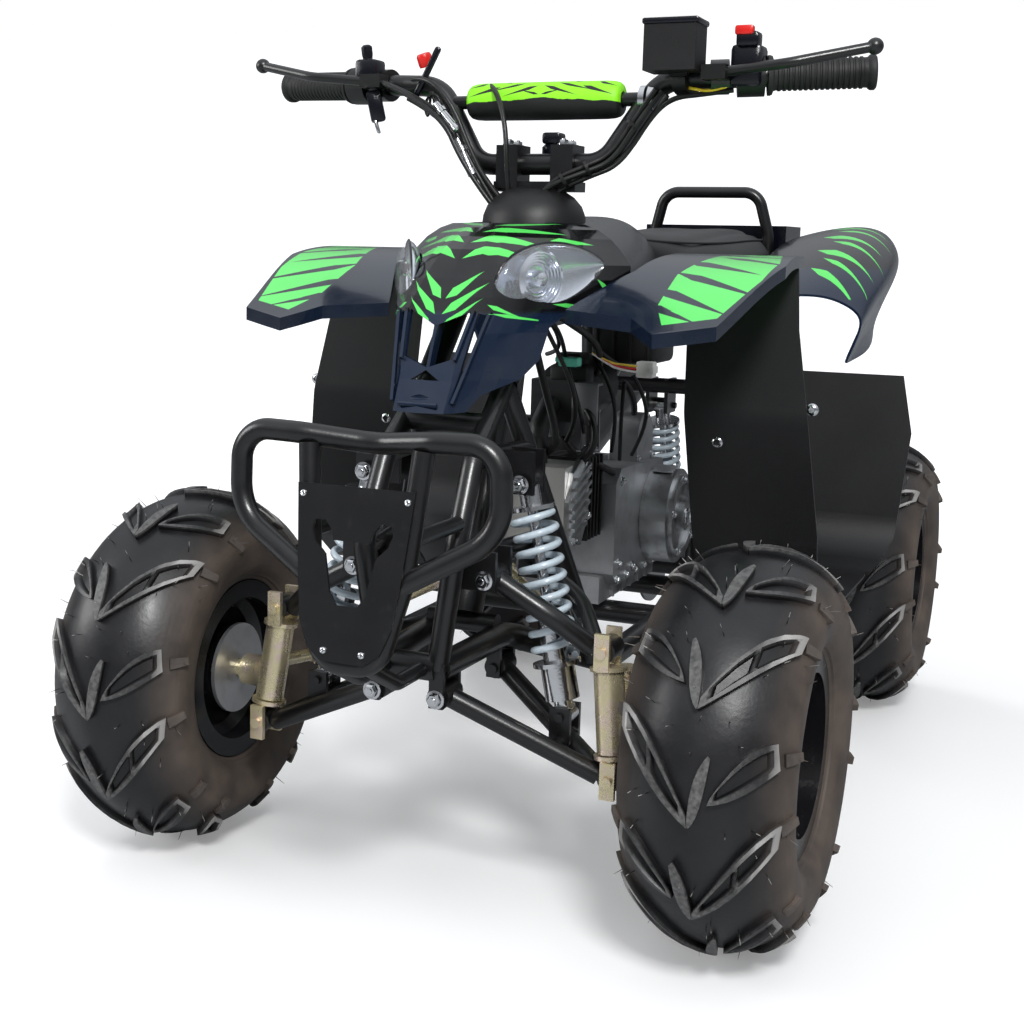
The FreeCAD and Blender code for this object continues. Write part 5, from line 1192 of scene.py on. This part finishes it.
def make_boxes():
    """Connectors, ignition box, battery tray and coil bracket."""
    for name, finish, slot, blocks in BOXES:
        form = bmesh.new()
        for size, radius, middle in blocks:
            put(form, rounded_box(size, radius), middle)
        piece(name, form, finish, "chassis")


PIVOTS = ((66, -52, 322), (32, -76, 213), (80, -6, 404))
PIVOT_EYE = 20.5
BUMPER_FOOT = (-206, 268)
BUMPER_TILT = math.atan2(28, 182)
BUMPER_FACE = 12.5
BUMPER_SCREWS = ((49, 141), (18, 11))
SHIELD_SCREWS = ((286, 252, 461), (192, 246, 422), (254, 248, 442), (217, 248, 436))


def bumper_spot(x, rise):
    """A place on the bumper plate's face, across it and up it, and the way out of it."""
    up = Vector((0, math.sin(BUMPER_TILT), math.cos(BUMPER_TILT)))
    out = Vector((0, -math.cos(BUMPER_TILT), math.sin(BUMPER_TILT)))
    return front(x, *BUMPER_FOOT) + up * (rise / 1000) + out * (BUMPER_FACE / 1000), out


def make_bolts():
    """Silver bolt heads on the arms' pivots, the bumper's plate and the leg shields."""
    bright = bmesh.new()
    for x, y, z in PIVOTS:
        for side in SIDES:
            put(bright, hex_head(6.6, 6.5), (x * side, y - PIVOT_EYE, z), AHEAD)
            put(bright, hex_head(6.6, 6.5), (x * side, y + PIVOT_EYE, z), -AHEAD)
    for x, rise in BUMPER_SCREWS:
        for side in SIDES:
            joined(bright, dome_screw(3.2, 2.2), place_along(*bumper_spot(x * side, rise)))
    for x, y, z in SHIELD_SCREWS:
        for side in SIDES:
            put(bright, dome_screw(6.5, 3.4), (x * side, y, z), AHEAD)
    piece("bright_bolts", bright, "chrome", "chassis")


# The studio

PHOTO_SIDE = 1024
FOCAL_PIXELS = 1541.9
CENTRE_PIXELS = (431.5, 485.2)
CAMERA_PLACE = (0.5871, -1.7264, 0.6211)
CAMERA_AZIMUTH = math.radians(24.70)
CAMERA_PITCH = math.radians(8.965)
CAMERA_ROLL = math.radians(1.197)
LAMP_TARGET = (0, -0.1, 0.35)


def make_camera():
    """The camera at the photograph's place."""
    ahead = Vector((
        -math.sin(CAMERA_AZIMUTH) * math.cos(CAMERA_PITCH),
        math.cos(CAMERA_AZIMUTH) * math.cos(CAMERA_PITCH), -math.sin(CAMERA_PITCH)))
    right = Vector((math.cos(CAMERA_AZIMUTH), math.sin(CAMERA_AZIMUTH), 0))
    top = right.cross(ahead)
    right_rolled = right * math.cos(CAMERA_ROLL) + top * math.sin(CAMERA_ROLL)
    top_rolled = top * math.cos(CAMERA_ROLL) - right * math.sin(CAMERA_ROLL)
    data = bpy.data.cameras.new("camera")
    data.sensor_width = 36
    data.lens = FOCAL_PIXELS / PHOTO_SIDE * data.sensor_width
    data.shift_x = (PHOTO_SIDE / 2 - CENTRE_PIXELS[0]) / PHOTO_SIDE
    data.shift_y = (CENTRE_PIXELS[1] - PHOTO_SIDE / 2) / PHOTO_SIDE
    data.clip_start = 0.05
    camera = bpy.data.objects.new("camera", data)
    bpy.context.scene.collection.objects.link(camera)
    place = Matrix((right_rolled, top_rolled, -ahead)).transposed().to_4x4()
    place.translation = CAMERA_PLACE
    camera.matrix_world = place
    bpy.context.scene.camera = camera


def make_lamp(name, place, size, power, mirrored=True):
    """A soft area lamp that looks at the quad, and shows in gloss if it's mirrored."""
    data = bpy.data.lights.new(name, "AREA")
    data.shape = "DISK"
    data.size = size
    data.energy = power
    lamp = bpy.data.objects.new(name, data)
    lamp.location = place
    lamp.visible_glossy = mirrored
    lamp.rotation_euler = (Vector(LAMP_TARGET) - Vector(place)).to_track_quat("-Z", "Y").to_euler()
    bpy.context.scene.collection.objects.link(lamp)


def make_world():
    """Light that falls off from a bright top to a dim horizon, and white for the camera."""
    shade = Shade("studio", "worlds")
    bpy.context.scene.world = shade.owner
    height = shade.node("ShaderNodeSeparateXYZ", None, {"Vector": shade.places["Generated"]})["Z"]
    strength = shade.node("ShaderNodeMapRange", None, {
        "Value": height, "From Min": 0.1, "From Max": 0.9, "To Min": 0.16, "To Max": 0.95})["Result"]
    soft = shade.node("ShaderNodeBackground", None, {"Color": (0.92, 0.955, 1), "Strength": strength})
    white = shade.node("ShaderNodeBackground", None, {"Color": (1, 1, 1), "Strength": 1.0})
    seen = shade.node("ShaderNodeLightPath")["Is Camera Ray"]
    values = {0: seen, 1: soft["Background"], 2: white["Background"]}
    mixed = shade.node("ShaderNodeMixShader", None, values)["Shader"]
    shade.node("ShaderNodeOutputWorld", None, {"Surface": mixed})


FLOOR_SIDE = 12
FLOOR_FRONT = -8
FLOOR_BACK = 9
COVE_RADIUS = 1.5
COVE_STEPS = 8
BACKDROP_TOP = 2.4


def make_floor():
    """A pale floor that runs up into a backdrop."""
    form = bmesh.new()
    points = [(-FLOOR_SIDE, FLOOR_FRONT, 0), (-FLOOR_SIDE, FLOOR_BACK, 0)]
    for step in range(COVE_STEPS + 1):
        turn = math.radians(90 * step / COVE_STEPS)
        back = FLOOR_BACK + COVE_RADIUS * math.sin(turn)
        points.append((-FLOOR_SIDE, back, COVE_RADIUS - COVE_RADIUS * math.cos(turn)))
    points.append((-FLOOR_SIDE, FLOOR_BACK + COVE_RADIUS, BACKDROP_TOP))
    rows = [form.verts.new(point) for point in points]
    edges = [form.edges.new(pair) for pair in zip(rows, rows[1:])]
    grown = bmesh.ops.extrude_edge_only(form, edges=edges)
    moved = [item for item in grown["geom"] if isinstance(item, bmesh.types.BMVert)]
    bmesh.ops.translate(form, verts=moved, vec=(2 * FLOOR_SIDE, 0, 0))
    bmesh.ops.recalc_face_normals(form, faces=form.faces)
    mesh = bpy.data.meshes.new("floor")
    form.to_mesh(mesh)
    form.free()
    for face in mesh.polygons:
        face.use_smooth = True
    shade = Shade("floor_paper")
    path = shade.node("ShaderNodeLightPath")
    tone = shade.mix((0.8, 0.8, 0.8), (0.34, 0.35, 0.36), path["Is Glossy Ray"])
    x, y, _ = shade.axes()
    far = y.ramp(0.6, 3.0).most(abs(x).ramp(1.6, 4.0)).most(1.0 - y.ramp(-4.0, -1.8))
    glow = shade.mix((0, 0, 0), (1, 1, 1), path["Is Camera Ray"] * (0.3 + far * 0.7))
    rough = 0.35 + shade.noise(3.0) * 0.1
    mesh.materials.append(shade.finish(tone, rough, Emission_Color=glow, Emission_Strength=0.75))
    floor = bpy.data.objects.new("floor", mesh)
    bpy.context.scene.collection.objects.link(floor)


# Operators


class QuadColours(PropertyGroup):
    """The colours that a user would change."""

    paint: FloatVectorProperty(
        name="Frame paint", description="Colour of the tubes", subtype="COLOR",
        default=(0.004, 0.004, 0.0045))
    stripe: FloatVectorProperty(
        name="Stripe", description="Colour of the stripes and the bar pad", subtype="COLOR",
        default=(0.1, 0.72, 0.12))
    rubber: FloatVectorProperty(
        name="Rubber", description="Colour of the tyres", subtype="COLOR", default=(0.006, 0.006, 0.007))


class QuadSizes(PropertyGroup):
    """The sizes that a user would change."""

    seat_crown: FloatProperty(
        name="Seat crown", description="Rise of the cushion's middle", default=0.006, min=0, unit="LENGTH")
    hose: FloatProperty(
        name="Hose", description="Thickness of the engine's hoses", default=0.008, min=0.001, unit="LENGTH")
    hairs: IntProperty(name="Hairs", description="Moulding hairs on each tyre", default=120, min=0)


class QUAD_OT_stage(Operator):
    """Camera, lamps, world and floor"""

    bl_idname = "quad.stage"
    bl_label = "Studio"

    def execute(self, context):
        context.scene.view_settings.view_transform = "Standard"
        make_camera()
        make_world()
        make_floor()
        make_lamp("key_lamp", (1.5, -2.9, 3.0), 0.9, 125)
        make_lamp("fill_lamp", (-3.0, -1.6, 1.6), 1.6, 40)
        make_lamp("back_lamp", (-2.4, 2.6, 3.4), 1.4, 45, False)
        return {"FINISHED"}


class QUAD_OT_finishes(Operator):
    """Gives every frame piece its finish"""

    bl_idname = "quad.finishes"
    bl_label = "Finishes"

    def execute(self, context):
        make_finishes()
        for name, item in frame["nodes"].items():
            for slot in item.material_slots:
                slot.material = FINISHES[OWN_FINISHES.get(name, SLOTS[name])]
        return {"FINISHED"}


class QUAD_OT_tyres(Operator):
    """Tyres with their full tread, wheel nuts and valves"""

    bl_idname = "quad.tyres"
    bl_label = "Tyres"

    def execute(self, context):
        make_tyres()
        make_wheel_parts()
        return {"FINISHED"}


class QUAD_OT_lamps(Operator):
    """Headlamps with bowls, rings and lenses"""

    bl_idname = "quad.lamps"
    bl_label = "Lamps"

    def execute(self, context):
        make_lamps()
        return {"FINISHED"}


class QUAD_OT_seat(Operator):
    """Seat cushion and bar pad"""

    bl_idname = "quad.seat"
    bl_label = "Seat and pad"

    def execute(self, context):
        make_seat()
        make_bar_pad()
        return {"FINISHED"}


class QUAD_OT_cables(Operator):
    """The two brake cables"""

    bl_idname = "quad.cables"
    bl_label = "Cables"

    def execute(self, context):
        make_cables()
        return {"FINISHED"}


class QUAD_OT_controls(Operator):
    """Grips, switches, wiring and console"""

    bl_idname = "quad.controls"
    bl_label = "Controls"

    def execute(self, context):
        make_grips()
        make_housings()
        make_kill_switches()
        make_bar_fittings()
        make_wiring()
        make_console()
        return {"FINISHED"}


class QUAD_OT_engine(Operator):
    """Engine fittings and bolts"""

    bl_idname = "quad.engine"
    bl_label = "Engine and bolts"

    def execute(self, context):
        make_engine_bolts()
        make_engine_plate()
        make_engine_lines()
        make_boxes()
        make_bolts()
        return {"FINISHED"}


class QUAD_PT_panel(Panel):
    """Lists the quad's pieces"""

    bl_idname = "QUAD_PT_panel"
    bl_label = "Quad Bike"
    bl_space_type = "VIEW_3D"
    bl_region_type = "UI"
    bl_category = "Quad Bike"

    def draw(self, context):
        scene = context.scene
        for name in ("paint", "stripe", "rubber"):
            self.layout.prop(scene.quad_colours, name)
        for name in ("seat_crown", "hose", "hairs"):
            self.layout.prop(scene.quad_sizes, name)
        for kind in OPERATORS:
            self.layout.operator(kind.bl_idname)


OPERATORS = (
    QUAD_OT_finishes, QUAD_OT_cables, QUAD_OT_stage, QUAD_OT_tyres, QUAD_OT_lamps, QUAD_OT_seat,
    QUAD_OT_controls, QUAD_OT_engine)
CLASSES = (QuadColours, QuadSizes) + OPERATORS + (QUAD_PT_panel,)


def register():
    for kind in CLASSES:
        bpy.utils.register_class(kind)
    bpy.types.Scene.quad_colours = PointerProperty(type=QuadColours)
    bpy.types.Scene.quad_sizes = PointerProperty(type=QuadSizes)


def unregister():
    del bpy.types.Scene.quad_sizes
    del bpy.types.Scene.quad_colours
    for kind in reversed(CLASSES):
        bpy.utils.unregister_class(kind)


def main():
    register()
    bpy.ops.quad.finishes()
    bpy.ops.quad.stage()
    bpy.ops.quad.cables()
    bpy.ops.quad.tyres()
    bpy.ops.quad.lamps()
    bpy.ops.quad.seat()
    bpy.ops.quad.controls()
    bpy.ops.quad.engine()


if __name__ == "__main__":
    main()
